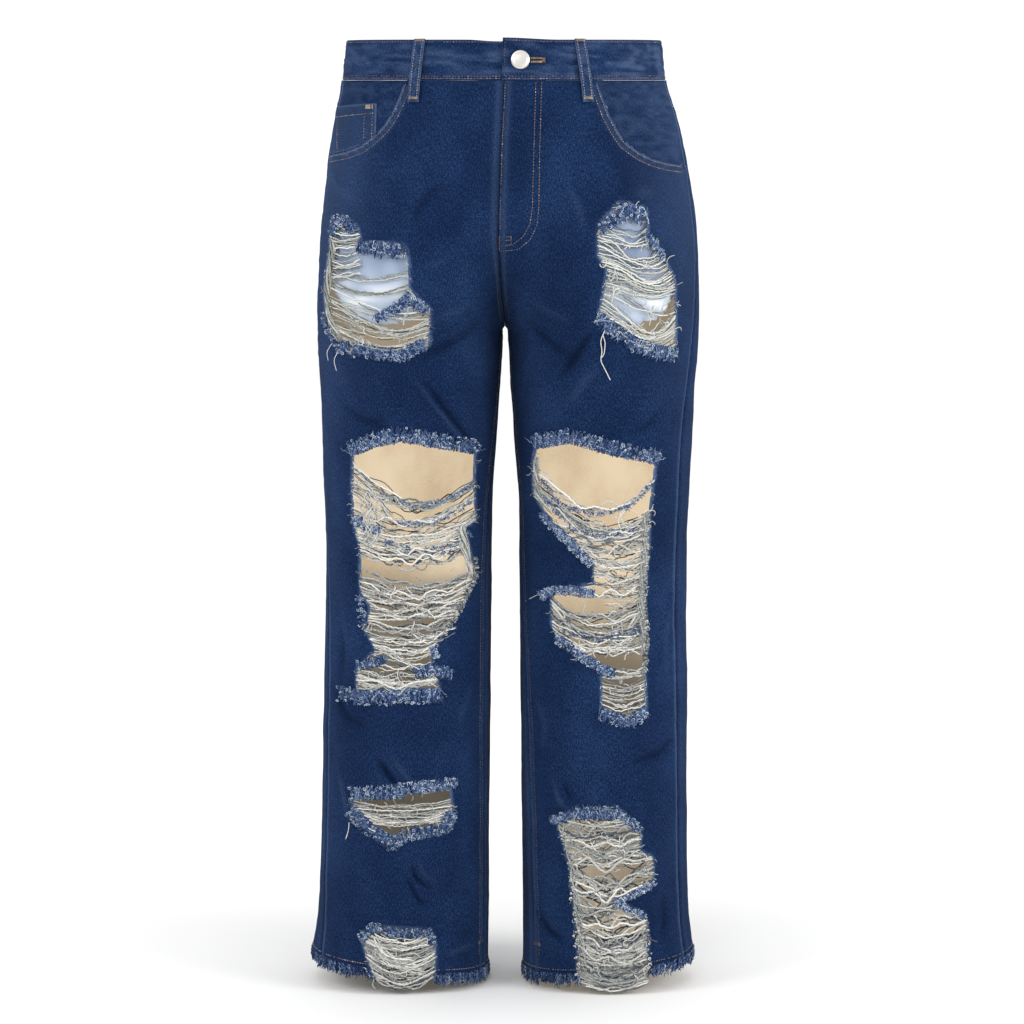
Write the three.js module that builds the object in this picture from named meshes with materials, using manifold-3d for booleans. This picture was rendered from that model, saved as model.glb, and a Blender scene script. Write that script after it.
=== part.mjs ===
// Wide-legged ripped jeans, filled out as if worn, with every cut piece as its own solid.
// Millimetres, +Z up. The front faces -Y and the wearer's left is at +X.
// The origin is the centre of the waist opening, at the middle height of the waistband.
import * as THREE from 'three';
import { mergeVertices } from 'three/addons/utils/BufferGeometryUtils.js';
import Module from 'manifold-3d';

const wasm = await Module();
wasm.setup();

// Driving sizes.
const cloth = 1.5; // denim wall
const bandWall = 3; // two layers of denim in the waistband
const bagWall = 1.2; // pocket bag
const gap = 0.3; // between pieces at a seam
const bandHalf = 21; // half the waistband's height
const crotchZ = -277;
const kneeZ = -530;
const hemZ = -965;
const fringeReach = 13;
const fullness = 0.15; // how much squarer than an ellipse each section is

// The form by height: [z, size].
const outerReach = track([
  [25, 167], [-20, 172], [-60, 182], [-125, 194.5], [-200, 202.5], [crotchZ, 204], [-360, 200],
  [-450, 197], [kneeZ, 194.5], [-670, 197], [-820, 199], [-920, 202.5], [hemZ, 208],
]);
const lean = track([[25, -1], [-20, -1], [-60, 1], [-160, 4.5], [crotchZ, 3.5], [-400, 2.5], [-600, 1],
  [-820, -1], [hemZ, -2.5]]);
const centreLine = track([[25, 0], [-21, -1], [-95, -4.5], [-176, -6.5], [-240, -3], [crotchZ, 0],
  [-400, 0.5], [hemZ, 0.5]]);
// How far the two legs have parted: 0 is one round trunk, 1 is where the inner thighs meet.
const fork = track([[25, 0], [-50, 0], [-90, 0.07], [-130, 0.23], [-187, 0.54], [-227, 0.78],
  [-252, 0.905], [-267, 0.965], [crotchZ, 1]]);
const innerReach = track([[crotchZ, 0], [-285, 1.8], [-300, 3.6], [-330, 5.2], [-400, 9.5], [-450, 13.5],
  [-600, 15.5], [-750, 17], [hemZ, 19]]);
const frontDepth = track([[25, 113], [-20, 117], [-60, 121], [-125, 126], [-200, 127], [crotchZ, 122],
  [-360, 112], [-450, 102], [kneeZ, 95], [-670, 88], [-820, 84], [hemZ, 82]]);
const backDepth = track([[25, 110], [-20, 116], [-60, 130], [-125, 148], [-200, 154], [crotchZ, 142],
  [-360, 124], [-450, 108], [kneeZ, 99], [-670, 92], [-820, 87], [hemZ, 84]]);

// Degrees that each seam is turned forward from the side of the leg, by side of the wearer.
const outseam = {
  left: track([[25, 0], [-50, 2], [-100, 9], [-160, 15], [-205, 16], [-296, 25], [-367, 30], [-440, 33],
    [-600, 33], [-760, 30], [hemZ, 28]]),
  right: track([[25, 0], [-100, 4], [-205, 6], [-300, 8], [-450, 11], [-520, 15], [-620, 22], [-870, 23],
    [hemZ, 28]]),
};
const inseam = {
  left: track([[crotchZ, 0], [-400, 8], [-580, 16], [-720, 25], [-830, 28], [hemZ, 30]]),
  right: track([[crotchZ, 0], [-400, 12], [-580, 23], [-900, 20], [hemZ, 20]]),
};
const sides = { left: 1, right: -1 };
const frontReach = [-220, 15]; // how far along Y a cut through the front goes
const backReach = [5, 220];

const denim = new THREE.MeshStandardMaterial({ color: 0x1f3357, roughness: 0.9, metalness: 0 });
const cotton = new THREE.MeshStandardMaterial({ color: 0xc4ccd4, roughness: 0.95, metalness: 0 });
const frayed = new THREE.MeshStandardMaterial({ color: 0x4a628c, roughness: 1, metalness: 0 });
const steel = new THREE.MeshStandardMaterial({ color: 0xd8d6d0, roughness: 0.3, metalness: 1 });
const tape = new THREE.MeshStandardMaterial({ color: 0x24344f, roughness: 0.85, metalness: 0 });

const jeans = new THREE.Group();
jeans.name = 'jeans';

// A smooth curve through [z, size] pairs that never overshoots them.
function track(stations) {
  const pairs = [...stations].sort((a, b) => a[0] - b[0]);
  const last = pairs.length - 1;
  const slopeTo = (i) => (pairs[i + 1][1] - pairs[i][1]) / (pairs[i + 1][0] - pairs[i][0]);
  const slopes = pairs.map((pair, i) => {
    if (i === 0) return slopeTo(0);
    if (i === last) return slopeTo(last - 1);
    const before = slopeTo(i - 1);
    const after = slopeTo(i);
    return before * after > 0 ? (2 * before * after) / (before + after) : 0;
  });
  return (z) => {
    const at = Math.min(Math.max(z, pairs[0][0]), pairs[last][0]);
    let i = 0;
    while (i < last - 1 && at > pairs[i + 1][0]) i += 1;
    const span = pairs[i + 1][0] - pairs[i][0];
    const t = (at - pairs[i][0]) / span;
    const rise = t * t * (3 - 2 * t);
    const ends = span * (slopes[i] * t * (1 - t) ** 2 - slopes[i + 1] * t * t * (1 - t));
    return pairs[i][1] * (1 - rise) + pairs[i + 1][1] * rise + ends;
  };
}

function ease(from, to, value) {
  const t = Math.min(Math.max((value - from) / (to - from), 0), 1);
  return t * t * (3 - 2 * t);
}

// Centre and half width of one half's section, measured from the centre line.
function section(side, z) {
  const outer = outerReach(z) + side * (lean(z) - centreLine(z));
  const half = z >= crotchZ ? outer / (1 + fork(z)) : (outer - innerReach(z)) / 2;
  return { centre: outer - half, half };
}

// A point of the outer surface. The turn is 0 at the outer side, 90 at the front, -90 at the back.
function skin(side, z, turn) {
  const { centre, half } = section(side, z);
  const c = Math.cos(THREE.MathUtils.degToRad(turn));
  const s = Math.sin(THREE.MathUtils.degToRad(turn));
  const depth = s > 0 ? frontDepth(z) : backDepth(z);
  const waistRise = 5 * (1 - s) * ease(-160, -20, z); // the waist is higher behind
  const hemSlant = 9 * c * ease(-850, hemZ, z); // the hem is lower at the inner leg
  return new THREE.Vector3(
    centreLine(z) + side * (centre + half * c),
    -depth * s * (1 + fullness * c * c),
    z + waistRise + hemSlant,
  );
}

// The surface point moved out of the cloth along its normal (inward where out is negative).
function offset(side, z, turn, out) {
  const across = skin(side, z, turn + 0.5).sub(skin(side, z, turn - 0.5));
  const along = skin(side, z + 0.5, turn).sub(skin(side, z - 0.5, turn));
  const normal = across.cross(along).multiplyScalar(-side).normalize();
  return skin(side, z, turn).addScaledVector(normal, out);
}

// The turn at which one half's front or back passes through a given x.
function turnAt(side, z, x, face) {
  const { centre, half } = section(side, z);
  const share = (side * (x - centreLine(z)) - centre) / half;
  return face * THREE.MathUtils.radToDeg(Math.acos(Math.min(Math.max(share, -1), 1)));
}

// A point on the trunk's front (face 1) or back (face -1), by x and height.
function onTrunk(x, z, face, out) {
  const side = x >= centreLine(z) ? 1 : -1;
  return offset(side, z, turnAt(side, z, x, face), out);
}

// The turn at the inner edge of a panel: the centre seam, and below the crotch the inseam.
function innerTurn(name, z, face) {
  const side = sides[name];
  if (z >= crotchZ) return turnAt(side, z, centreLine(z) + side * gap * 0.5, face);
  return face > 0 ? 180 - inseam[name](z) : -180 - inseam[name](z);
}

// A closed wall between two grids of points. Its faces are turned to point out.
function wall(outer, inner) {
  const rows = outer.length;
  const cols = outer[0].length;
  const layer = rows * cols;
  const points = [...outer.flat(), ...inner.flat()];
  const index = [];
  const quad = (a, b, c, d) => index.push(a, b, c, a, c, d);
  for (let r = 0; r < rows - 1; r += 1) {
    for (let c = 0; c < cols - 1; c += 1) {
      const p = r * cols + c;
      quad(p, p + 1, p + cols + 1, p + cols);
      quad(layer + p, layer + p + cols, layer + p + cols + 1, layer + p + 1);
    }
    const first = r * cols;
    const end = first + cols - 1;
    quad(first, first + cols, layer + first + cols, layer + first);
    quad(end, layer + end, layer + end + cols, end + cols);
  }
  const bottom = layer - cols;
  for (let c = 0; c < cols - 1; c += 1) {
    quad(c, layer + c, layer + c + 1, c + 1);
    quad(bottom + c, bottom + c + 1, layer + bottom + c + 1, layer + bottom + c);
  }
  const volume = index.reduce((sum, _, i) => {
    if (i % 3) return sum;
    return sum + points[index[i]].dot(points[index[i + 1]].clone().cross(points[index[i + 2]]));
  }, 0);
  if (volume < 0) index.reverse();
  const geometry = new THREE.BufferGeometry().setFromPoints(points);
  geometry.setIndex(index);
  return geometry;
}

// A wall from a function point(across 0..1, down 0..1, out) on a grid, between two depths.
function grid(across, down, outDepth, inDepth, point) {
  const layerAt = (depth) => down.map((v) => across.map((u) => point(u, v, depth)));
  return wall(layerAt(outDepth), layerAt(inDepth));
}

function steps(count) {
  return Array.from({ length: count + 1 }, (_, i) => i / count);
}

function solid(geometry) {
  const bare = geometry.clone();
  bare.deleteAttribute('normal');
  bare.deleteAttribute('uv');
  const merged = mergeVertices(bare, 1e-4);
  return new wasm.Manifold(new wasm.Mesh({
    numProp: 3,
    vertProperties: new Float32Array(merged.attributes.position.array),
    triVerts: new Uint32Array(merged.index.array),
  }));
}

function shape(manifold) {
  const mesh = manifold.getMesh();
  const geometry = new THREE.BufferGeometry();
  geometry.setAttribute('position', new THREE.BufferAttribute(mesh.vertProperties, 3));
  geometry.setIndex(new THREE.BufferAttribute(mesh.triVerts, 1));
  return geometry;
}

// An upright outline of [x, z] points carried along Y from near to far.
function prism(outline, near, far) {
  const flat = new THREE.Shape(outline.map(([x, z]) => new THREE.Vector2(x, z)));
  const geometry = new THREE.ExtrudeGeometry(flat, { depth: far - near, bevelEnabled: false });
  geometry.rotateX(Math.PI / 2).translate(0, far, 0);
  return solid(geometry);
}

function piece(name, geometry, material) {
  const mesh = new THREE.Mesh(geometry, material.clone());
  mesh.name = name;
  jeans.add(mesh);
}

// Rows shared by front and back panels, so that their edges meet at the seams.
const seamZ = -bandHalf - gap * 0.5;
const frontRows = [seamZ, -48, -100, -140, -180, -215, -242, -260, -271, crotchZ, -285, -305, -345, -400,
  -460, kneeZ, -610, -700, -790, -870, -925, hemZ];

// The yoke seam drops from the outseam to the centre back.
function yokeSeam(turn) {
  return -48 - 36 * Math.abs(Math.sin(THREE.MathUtils.degToRad(turn))) ** 1.5;
}

// One front or back panel's point at a share of its width.
function panelTurn(name, face, u, z) {
  const seamGap = THREE.MathUtils.radToDeg(gap / 2 / 100);
  const outer = outseam[name](z) + face * seamGap;
  const inner = z >= crotchZ ? innerTurn(name, z, face) : innerTurn(name, z, face) - face * seamGap;
  return outer + (inner - outer) * u;
}

// A wall over some rows of a panel, on the panel's own lines, between two depths.
function layerOf(name, face, rows, outDepth, inDepth) {
  return grid(steps(face > 0 ? 12 : 10), rows, outDepth, inDepth, (u, row, out) => {
    const z = typeof row === 'function' ? row(panelTurn(name, face, u, frontRows[1])) : row;
    return offset(sides[name], z, panelTurn(name, face, u, z), out);
  });
}

// Torn holes in the front panels, as [x, z] outlines.
const rips = {
  right: [
    [[-181, -164], [-166, -160], [-151, -188], [-103, -190], [-99, -235], [-79, -254], [-79, -293],
      [-110, -306], [-168, -299], [-188, -269], [-191, -237], [-184, -196]],
    [[-159, -402], [-109, -391], [-31, -404], [-31, -480], [-43, -486], [-32, -539], [-59, -590],
      [-78, -618], [-69, -657], [-156, -661], [-136, -618], [-148, -594], [-141, -571], [-152, -550],
      [-152, -507], [-160, -477]],
    [[-162, -777], [-59, -768], [-61, -808], [-116, -827], [-146, -810], [-162, -791]],
    [[-153, -930], [-138, -915], [-80, -921], [-75, -940], [-75, -1000], [-140, -1000], [-142, -965]],
  ],
  left: [
    [[120, -148], [146, -154], [150, -180], [165, -202], [177, -227], [179, -303], [140, -293],
      [97, -266], [103, -246], [98, -210], [97, -169]],
    [[34, -399], [68, -393], [111, -405], [157, -413], [151, -465], [147, -560], [150, -640],
      [147, -684], [128, -696], [103, -683], [103, -640], [59, -608], [50, -590], [50, -557],
      [94, -550], [94, -520], [42, -470], [31, -440]],
    [[56, -802], [76, -791], [117, -786], [144, -809], [144, -832], [158, -842], [158, -868],
      [120, -886], [149, -903], [152, -919], [153, -1000], [80, -1000], [78, -932], [71, -875],
      [70, -850]],
  ],
};

// The scoop of each front pocket, from the waist seam down to the outseam.
const scoops = {
  right: [[-104, 10], [-104, -23], [-111, -42], [-124, -67], [-140, -81], [-158, -91], [-185, -96],
    [-240, -96], [-240, 10]],
  left: [[95, 10], [95, -21], [104, -46], [116, -70], [132, -90], [151, -100], [172, -105], [187, -107],
    [240, -107], [240, 10]],
};

// The scoop's outline grown (or shrunk) by a margin away from the outer waist corner.
function grown(outline, margin) {
  const corner = outline[outline.length - 1];
  return outline.map(([x, z]) => {
    const away = Math.sign(x - corner[0]);
    const slope = Math.min(1, (z < 0 ? -z : 0) / 100);
    return [x + away * margin * (1 - slope * 0.5), z < 0 ? z - margin * slope : z];
  });
}

function makeFronts() {
  for (const name of Object.keys(sides)) {
    const cuts = [...rips[name], scoops[name]].map((outline) => prism(outline, ...frontReach));
    const whole = solid(layerOf(name, 1, frontRows, 0, -cloth));
    piece(`front_${name}`, shape(cuts.reduce((rest, cut) => rest.subtract(cut), whole)), denim);
  }
}

function makeBacks() {
  const above = (turn) => yokeSeam(turn) + gap / 2;
  const below = (turn) => yokeSeam(turn) - gap / 2;
  for (const name of Object.keys(sides)) {
    piece(`back_${name}`, layerOf(name, -1, [below, ...frontRows.slice(2)], 0, -cloth), denim);
    piece(`yoke_${name}`, layerOf(name, -1, [seamZ, above], 0, -cloth), denim);
  }
}

// The part of a panel's layer that lies inside an upright outline.
function patch(name, face, rows, outDepth, inDepth, outline) {
  const reach = face > 0 ? frontReach : backReach;
  return shape(solid(layerOf(name, face, rows, outDepth, inDepth)).intersect(prism(outline, ...reach)));
}

// The denim facing that shows in each pocket scoop, the coin pocket on it, and the cotton bags.
function makeFrontPockets() {
  const facingNear = -cloth - gap;
  const facingFar = facingNear - cloth;
  const bagNear = facingFar - gap * 4;
  const pocketRows = frontRows.filter((z) => z >= -140);
  const bagRows = frontRows.filter((z) => z >= crotchZ);
  for (const name of Object.keys(sides)) {
    const side = sides[name];
    const facing = patch(name, 1, pocketRows, facingNear, facingFar, grown(scoops[name], 18));
    piece(`pocket_facing_${name}`, facing, denim);
    const bag = [[68, -30], [66, -200], [76, -246], [100, -268], [134, -274], [166, -264], [184, -238],
      [191, -200], [191, -30]].map(([x, z]) => [side * x, z]);
    piece(`pocket_bag_${name}`, patch(name, 1, bagRows, bagNear, bagNear - bagWall, bag), cotton);
  }
  const coin = [[-240, -46], [-134, -43], [-134, -84], [-178, -93], [-240, -93]];
  const shown = solid(layerOf('right', 1, pocketRows, -gap, facingNear + gap))
    .intersect(prism(coin, ...frontReach))
    .intersect(prism(grown(scoops.right, -1.2), ...frontReach));
  piece('coin_pocket', shape(shown), denim);
}

// Behind the fly fold: the facing under its double stitching, the zip, and the shield at the back.
function makeFly() {
  const flyTop = -24;
  const rows = [-48, -100, -140, -160];
  const layers = [
    ['fly_facing', 2.7, 3.9, -5, 37, -180, denim],
    ['zip', 4.6, 6.0, -15, 15, -172, tape],
    ['fly_shield', 6.9, 8.1, -34, 32, -180, denim],
  ];
  for (const [name, near, far, from, to, low, material] of layers) {
    const strip = grid(steps(6), [flyTop, ...rows, low], near, far, (u, z, back) => {
      const narrow = 1 - 0.55 * ease(-140, low, z);
      const at = onTrunk(from + (to - from) * u * narrow, z, 1, 0);
      at.y = Math.max(at.y, onTrunk(centreLine(z), z, 1, 0).y) + back; // flat across the centre seam
      return at;
    });
    piece(name, strip, material);
  }
}

// The waistband is one strip round the waist. Its left end laps over its right end at the front.
const lapX = -2;
const underX = 44;
const buttonX = 16;

function aroundWaist(degrees, z, out) {
  const radians = THREE.MathUtils.degToRad(degrees);
  const side = Math.sin(radians) >= 0 ? 1 : -1;
  const turn = 90 - THREE.MathUtils.euclideanModulo(side * degrees, 360);
  return offset(side, z, turn, out);
}

function makeWaistband() {
  const half = outerReach(0);
  const start = THREE.MathUtils.radToDeg(lapX / half);
  const end = 360 + THREE.MathUtils.radToDeg(underX / half);
  const tuckFrom = 360 - THREE.MathUtils.radToDeg(40 / half);
  const tuckTo = 360 - THREE.MathUtils.radToDeg(8 / half);
  const height = bandHalf - gap / 2;
  const band = grid(steps(60), [0, 1], 0, -bandWall, (u, v, out) => {
    const degrees = start + (end - start) * u;
    const inward = (bandWall + gap) * ease(tuckFrom, tuckTo, degrees);
    const lift = 2.2 * (1 - ease(0, 20, degrees)) * (1 - v);
    const drop = 1.2 * ease(tuckFrom, tuckTo, degrees) * (1 - v);
    const at = aroundWaist(degrees, height - 2 * height * v, out - inward);
    at.z += lift - drop;
    return at;
  });

  const eyelet = new THREE.CylinderGeometry(4, 4, 12, 16);
  eyelet.translate(buttonX, 0, 0);
  const slit = new THREE.BoxGeometry(16, 12, 2.4);
  slit.translate(buttonX + 9, 0, 0);
  const mid = onTrunk(buttonX, 0, 1, 0);
  const keyhole = solid(eyelet).add(solid(slit)).translate([0, mid.y - 6 + bandWall + gap * 0.5, 0]);
  piece('waistband', shape(solid(band).subtract(keyhole)), denim);
}

// A domed disc on a shank that passes the keyhole and ends just clear of the end underneath.
function makeButton() {
  const rim = 10;
  const foot = -bandWall + gap;
  const profile = [[0, foot], [3, foot], [3, 1.2], [8.8, 1.2], [rim, 2], [rim, 2.6], [8.6, 3.5],
    [6, 3.9], [0, 4]];
  const button = new THREE.LatheGeometry(profile.map(([r, h]) => new THREE.Vector2(r, h)), 24);
  const at = onTrunk(buttonX, 0, 1, 0);
  const facing = onTrunk(buttonX, 0, 1, 1).sub(at);
  button.applyQuaternion(new THREE.Quaternion().setFromUnitVectors(new THREE.Vector3(0, 1, 0), facing));
  button.translate(at.x, at.y, at.z);
  piece('button', button, steel);
}

// Belt loops lie on the waistband and stand a little clear of it between their sewn ends.
function makeLoops() {
  const width = 11.5;
  const loops = [
    ['belt_loop_front_right', -87, -94, 1],
    ['belt_loop_front_left', 77, 86, 1],
    ['belt_loop_back_right', -98, -102, -1],
    ['belt_loop_back_left', 98, 102, -1],
    ['belt_loop_back', -1, -2, -1],
  ];
  for (const [name, topX, lowX, face] of loops) {
    const strip = grid(steps(2), steps(8), 0, -1.8, (u, v, out) => {
      const z = bandHalf + 1 - (bandHalf + 44) * v;
      const x = topX + (lowX - topX) * v + width * (u - 0.5);
      const stand = 2.3 + 2.2 * Math.sin(Math.PI * v);
      return onTrunk(x, z, face, out + stand);
    });
    piece(name, strip, denim);
  }
}

// Plain patch pockets on the seat, each with a point at the middle of its foot.
function makeBackPockets() {
  const rows = frontRows.filter((z) => z <= -100 && z >= crotchZ);
  for (const name of Object.keys(sides)) {
    const outline = [[22, -108], [166, -104], [158, -252], [94, -270], [30, -254]];
    const placed = outline.map(([x, z]) => [sides[name] * x - 2, z]);
    piece(`back_pocket_${name}`, patch(name, -1, rows, gap + cloth, gap, placed), denim);
  }
}

// The reach of the frayed yarns round each hem, open where a rip runs out through the hem.
function makeFringes() {
  const openings = { right: [76, 136], left: [62, 112] };
  for (const name of Object.keys(sides)) {
    const side = sides[name];
    const [from, to] = openings[name];
    const ring = grid(steps(30), [0, 1], 0.3, -1.9, (u, v, out) => {
      const turn = to + (360 - (to - from)) * u;
      const at = offset(side, hemZ, turn, out);
      at.z -= gap + (fringeReach - gap) * v;
      return at;
    });
    piece(`hem_fringe_${name}`, ring, frayed);
  }
}

makeFronts();
makeBacks();
makeFrontPockets();
makeFly();
makeWaistband();
makeButton();
makeLoops();
makeBackPockets();
makeFringes();

export default jeans;
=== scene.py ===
import math

import bpy
import numpy as np
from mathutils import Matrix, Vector


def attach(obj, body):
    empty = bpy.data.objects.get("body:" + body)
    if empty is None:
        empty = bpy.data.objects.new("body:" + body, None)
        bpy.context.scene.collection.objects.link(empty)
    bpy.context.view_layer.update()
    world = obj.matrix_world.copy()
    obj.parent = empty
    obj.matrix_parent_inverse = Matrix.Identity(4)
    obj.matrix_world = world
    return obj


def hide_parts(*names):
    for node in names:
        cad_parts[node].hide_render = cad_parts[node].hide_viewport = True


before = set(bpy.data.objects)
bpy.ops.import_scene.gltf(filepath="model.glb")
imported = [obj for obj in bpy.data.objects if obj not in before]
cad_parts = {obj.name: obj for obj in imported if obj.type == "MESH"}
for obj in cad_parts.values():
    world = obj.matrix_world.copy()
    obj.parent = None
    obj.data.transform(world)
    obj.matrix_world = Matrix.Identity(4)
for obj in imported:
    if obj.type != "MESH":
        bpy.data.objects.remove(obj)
scene = bpy.context.scene
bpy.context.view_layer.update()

# camera: a long lens in front of the fly, tipped a little down
camera = bpy.data.objects.new("camera", bpy.data.cameras.new("camera"))
scene.collection.objects.link(camera)
camera.data.lens = 107.95
camera.data.sensor_width = 36
camera.location = (0.0075, -3.3, -0.150)
camera.rotation_euler = (math.radians(90 - 5.68), 0, 0)
scene.camera = camera
scene.view_settings.view_transform = "Standard"

# the form: sizes in mm, z up, 0 at the middle of the waistband
sideOf = {"left": 1, "right": -1}
crotchZ, hemZ, seamZ = -277, -965, -21.15
clothThick, bandThick, bagThick, gap = 1.5, 3, 1.2, 0.3
bandHalf = 21
squareness, backRise, hemSlant = 0.15, 5, 9


# a smooth line through (height, value) points that never overshoots them:
# slope at a point = harmonic mean of its neighbours' slopes, 0 where they disagree
def track(*points):
    x, y = np.array(sorted(points), float).T
    step = np.diff(x)
    slope = np.diff(y) / step
    before, after = slope[:-1], slope[1:]
    agree = before * after > 0
    safeBefore, safeAfter = np.where(agree, before, 1), np.where(agree, after, 1)
    mean = (step[:-1] + step[1:]) / (step[:-1] / safeAfter + step[1:] / safeBefore)
    tangent = np.concatenate([slope[:1], np.where(agree, mean, 0), slope[-1:]])

    def value(z):
        z = np.clip(np.asarray(z, float), x[0], x[-1])
        i = np.clip(np.searchsorted(x, z, side="right") - 1, 0, len(x) - 2)
        t = (z - x[i]) / step[i]
        ends = y[i] * (1 + 2 * t) * (1 - t) ** 2 + y[i + 1] * t * t * (3 - 2 * t)
        return ends + step[i] * (tangent[i] * t * (1 - t) ** 2 - tangent[i + 1] * t * t * (1 - t))

    return value


outerReach = track(
    (25, 167), (-20, 172), (-60, 182), (-125, 194.5), (-200, 202.5), (-277, 204), (-360, 200),
    (-450, 197), (-530, 194.5), (-670, 197), (-820, 199), (-920, 202.5), (-965, 208))
lean = track(
    (25, -1), (-20, -1), (-60, 1), (-160, 4.5), (-277, 3.5), (-400, 2.5), (-600, 1), (-820, -1),
    (-965, -2.5))
centreLine = track(
    (25, 0), (-21, -1), (-95, -4.5), (-176, -6.5), (-240, -3), (-277, 0), (-400, 0.5), (-965, 0.5))
fork = track(
    (25, 0), (-50, 0), (-90, 0.07), (-130, 0.23), (-187, 0.54), (-227, 0.78), (-252, 0.905),
    (-267, 0.965), (-277, 1))
innerReach = track(
    (-277, 0), (-278.6, 2.4), (-283, 3.1), (-300, 3.6), (-330, 5.2), (-400, 9.5), (-450, 13.5),
    (-600, 15.5), (-750, 17), (-965, 19))
frontDepth = track(
    (25, 113), (-20, 117), (-60, 121), (-125, 126), (-200, 127), (-277, 122), (-360, 112),
    (-450, 102), (-530, 95), (-670, 88), (-820, 84), (-965, 82))
backDepth = track(
    (25, 110), (-20, 116), (-60, 130), (-125, 148), (-200, 154), (-277, 142), (-360, 124),
    (-450, 108), (-530, 99), (-670, 92), (-820, 87), (-965, 84))
outseam = {
    "left": track((25, 0), (-50, 2), (-100, 9), (-160, 15), (-205, 16), (-296, 25), (-367, 30),
                  (-440, 33), (-600, 33), (-760, 30), (-965, 28)),
    "right": track((25, 0), (-100, 4), (-205, 6), (-300, 8), (-450, 11), (-520, 15), (-620, 22),
                   (-870, 23), (-965, 28)),
}
inseam = {
    "left": track((-277, 0), (-400, 8), (-580, 16), (-720, 25), (-830, 28), (-965, 30)),
    "right": track((-277, 0), (-400, 12), (-580, 23), (-900, 20), (-965, 20)),
}


def ease(low, high, v):
    t = np.clip((v - low) / (high - low), 0, 1)
    return t * t * (3 - 2 * t)


# distance run along a line of points
def runLength(points):
    steps = np.linalg.norm(np.diff(points, axis=0), axis=1)
    return np.concatenate([[0], np.cumsum(steps)])


def section(side, z):
    outer = outerReach(z) + side * (lean(z) - centreLine(z))
    half = np.where(z >= crotchZ, outer / (1 + fork(z)), (outer - innerReach(z)) / 2)
    return outer - half, half


# x = middle + side (centre + half cos t), y = -depth sin t (1 + squareness cos^2 t), t in degrees
def skin(side, z, turn):
    z, turn = np.broadcast_arrays(np.asarray(z, float), np.asarray(turn, float))
    c, s = np.cos(np.radians(turn)), np.sin(np.radians(turn))
    centre, half = section(side, z)
    depth = np.where(s > 0, frontDepth(z), backDepth(z))
    x = centreLine(z) + side * (centre + half * c)
    y = -depth * s * (1 + squareness * c * c)
    rise = backRise * (1 - s) * ease(-160, -20, z)
    slant = hemSlant * c * (1 - ease(hemZ, -850, z))
    return np.stack([x, y, z + rise + slant], -1)


def outward(side, z, turn):
    across = skin(side, z, turn + 0.5) - skin(side, z, turn - 0.5)
    along = skin(side, z + 0.5, turn) - skin(side, z - 0.5, turn)
    n = -side * np.cross(across, along)
    return n / np.maximum(np.linalg.norm(n, axis=-1, keepdims=True), 1e-9)


# the turn where one leg's front (face 1) or back (face -1) passes a given x
def turnAt(side, z, x, face):
    centre, half = section(side, z)
    share = (side * (x - centreLine(z)) - centre) / half
    return face * np.degrees(np.arccos(np.clip(share, -1, 1)))


# (row height, turn) of the point of the cloth seen at x, z from the front or the back
def seenAt(side, x, z, face):
    row = np.asarray(z, float) + 0.0
    for _ in range(4):
        turn = turnAt(side, row, x, face)
        row = row + (z - skin(side, row, turn)[..., 2])
    return row, turn


lattice = np.random.default_rng(11).uniform(-1, 1, (64, 64))


# smooth random height from -1 to 1, one knot per unit square
def grain(u, v):
    i, j = np.floor(u).astype(int), np.floor(v).astype(int)
    a, b = u - i, v - j
    a, b = a * a * (3 - 2 * a), b * b * (3 - 2 * b)
    i, j, k, m = i % 64, j % 64, (i + 1) % 64, (j + 1) % 64
    low = lattice[i, j] * (1 - a) + lattice[k, j] * a
    high = lattice[i, m] * (1 - a) + lattice[k, m] * a
    return low * (1 - b) + high * b


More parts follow.
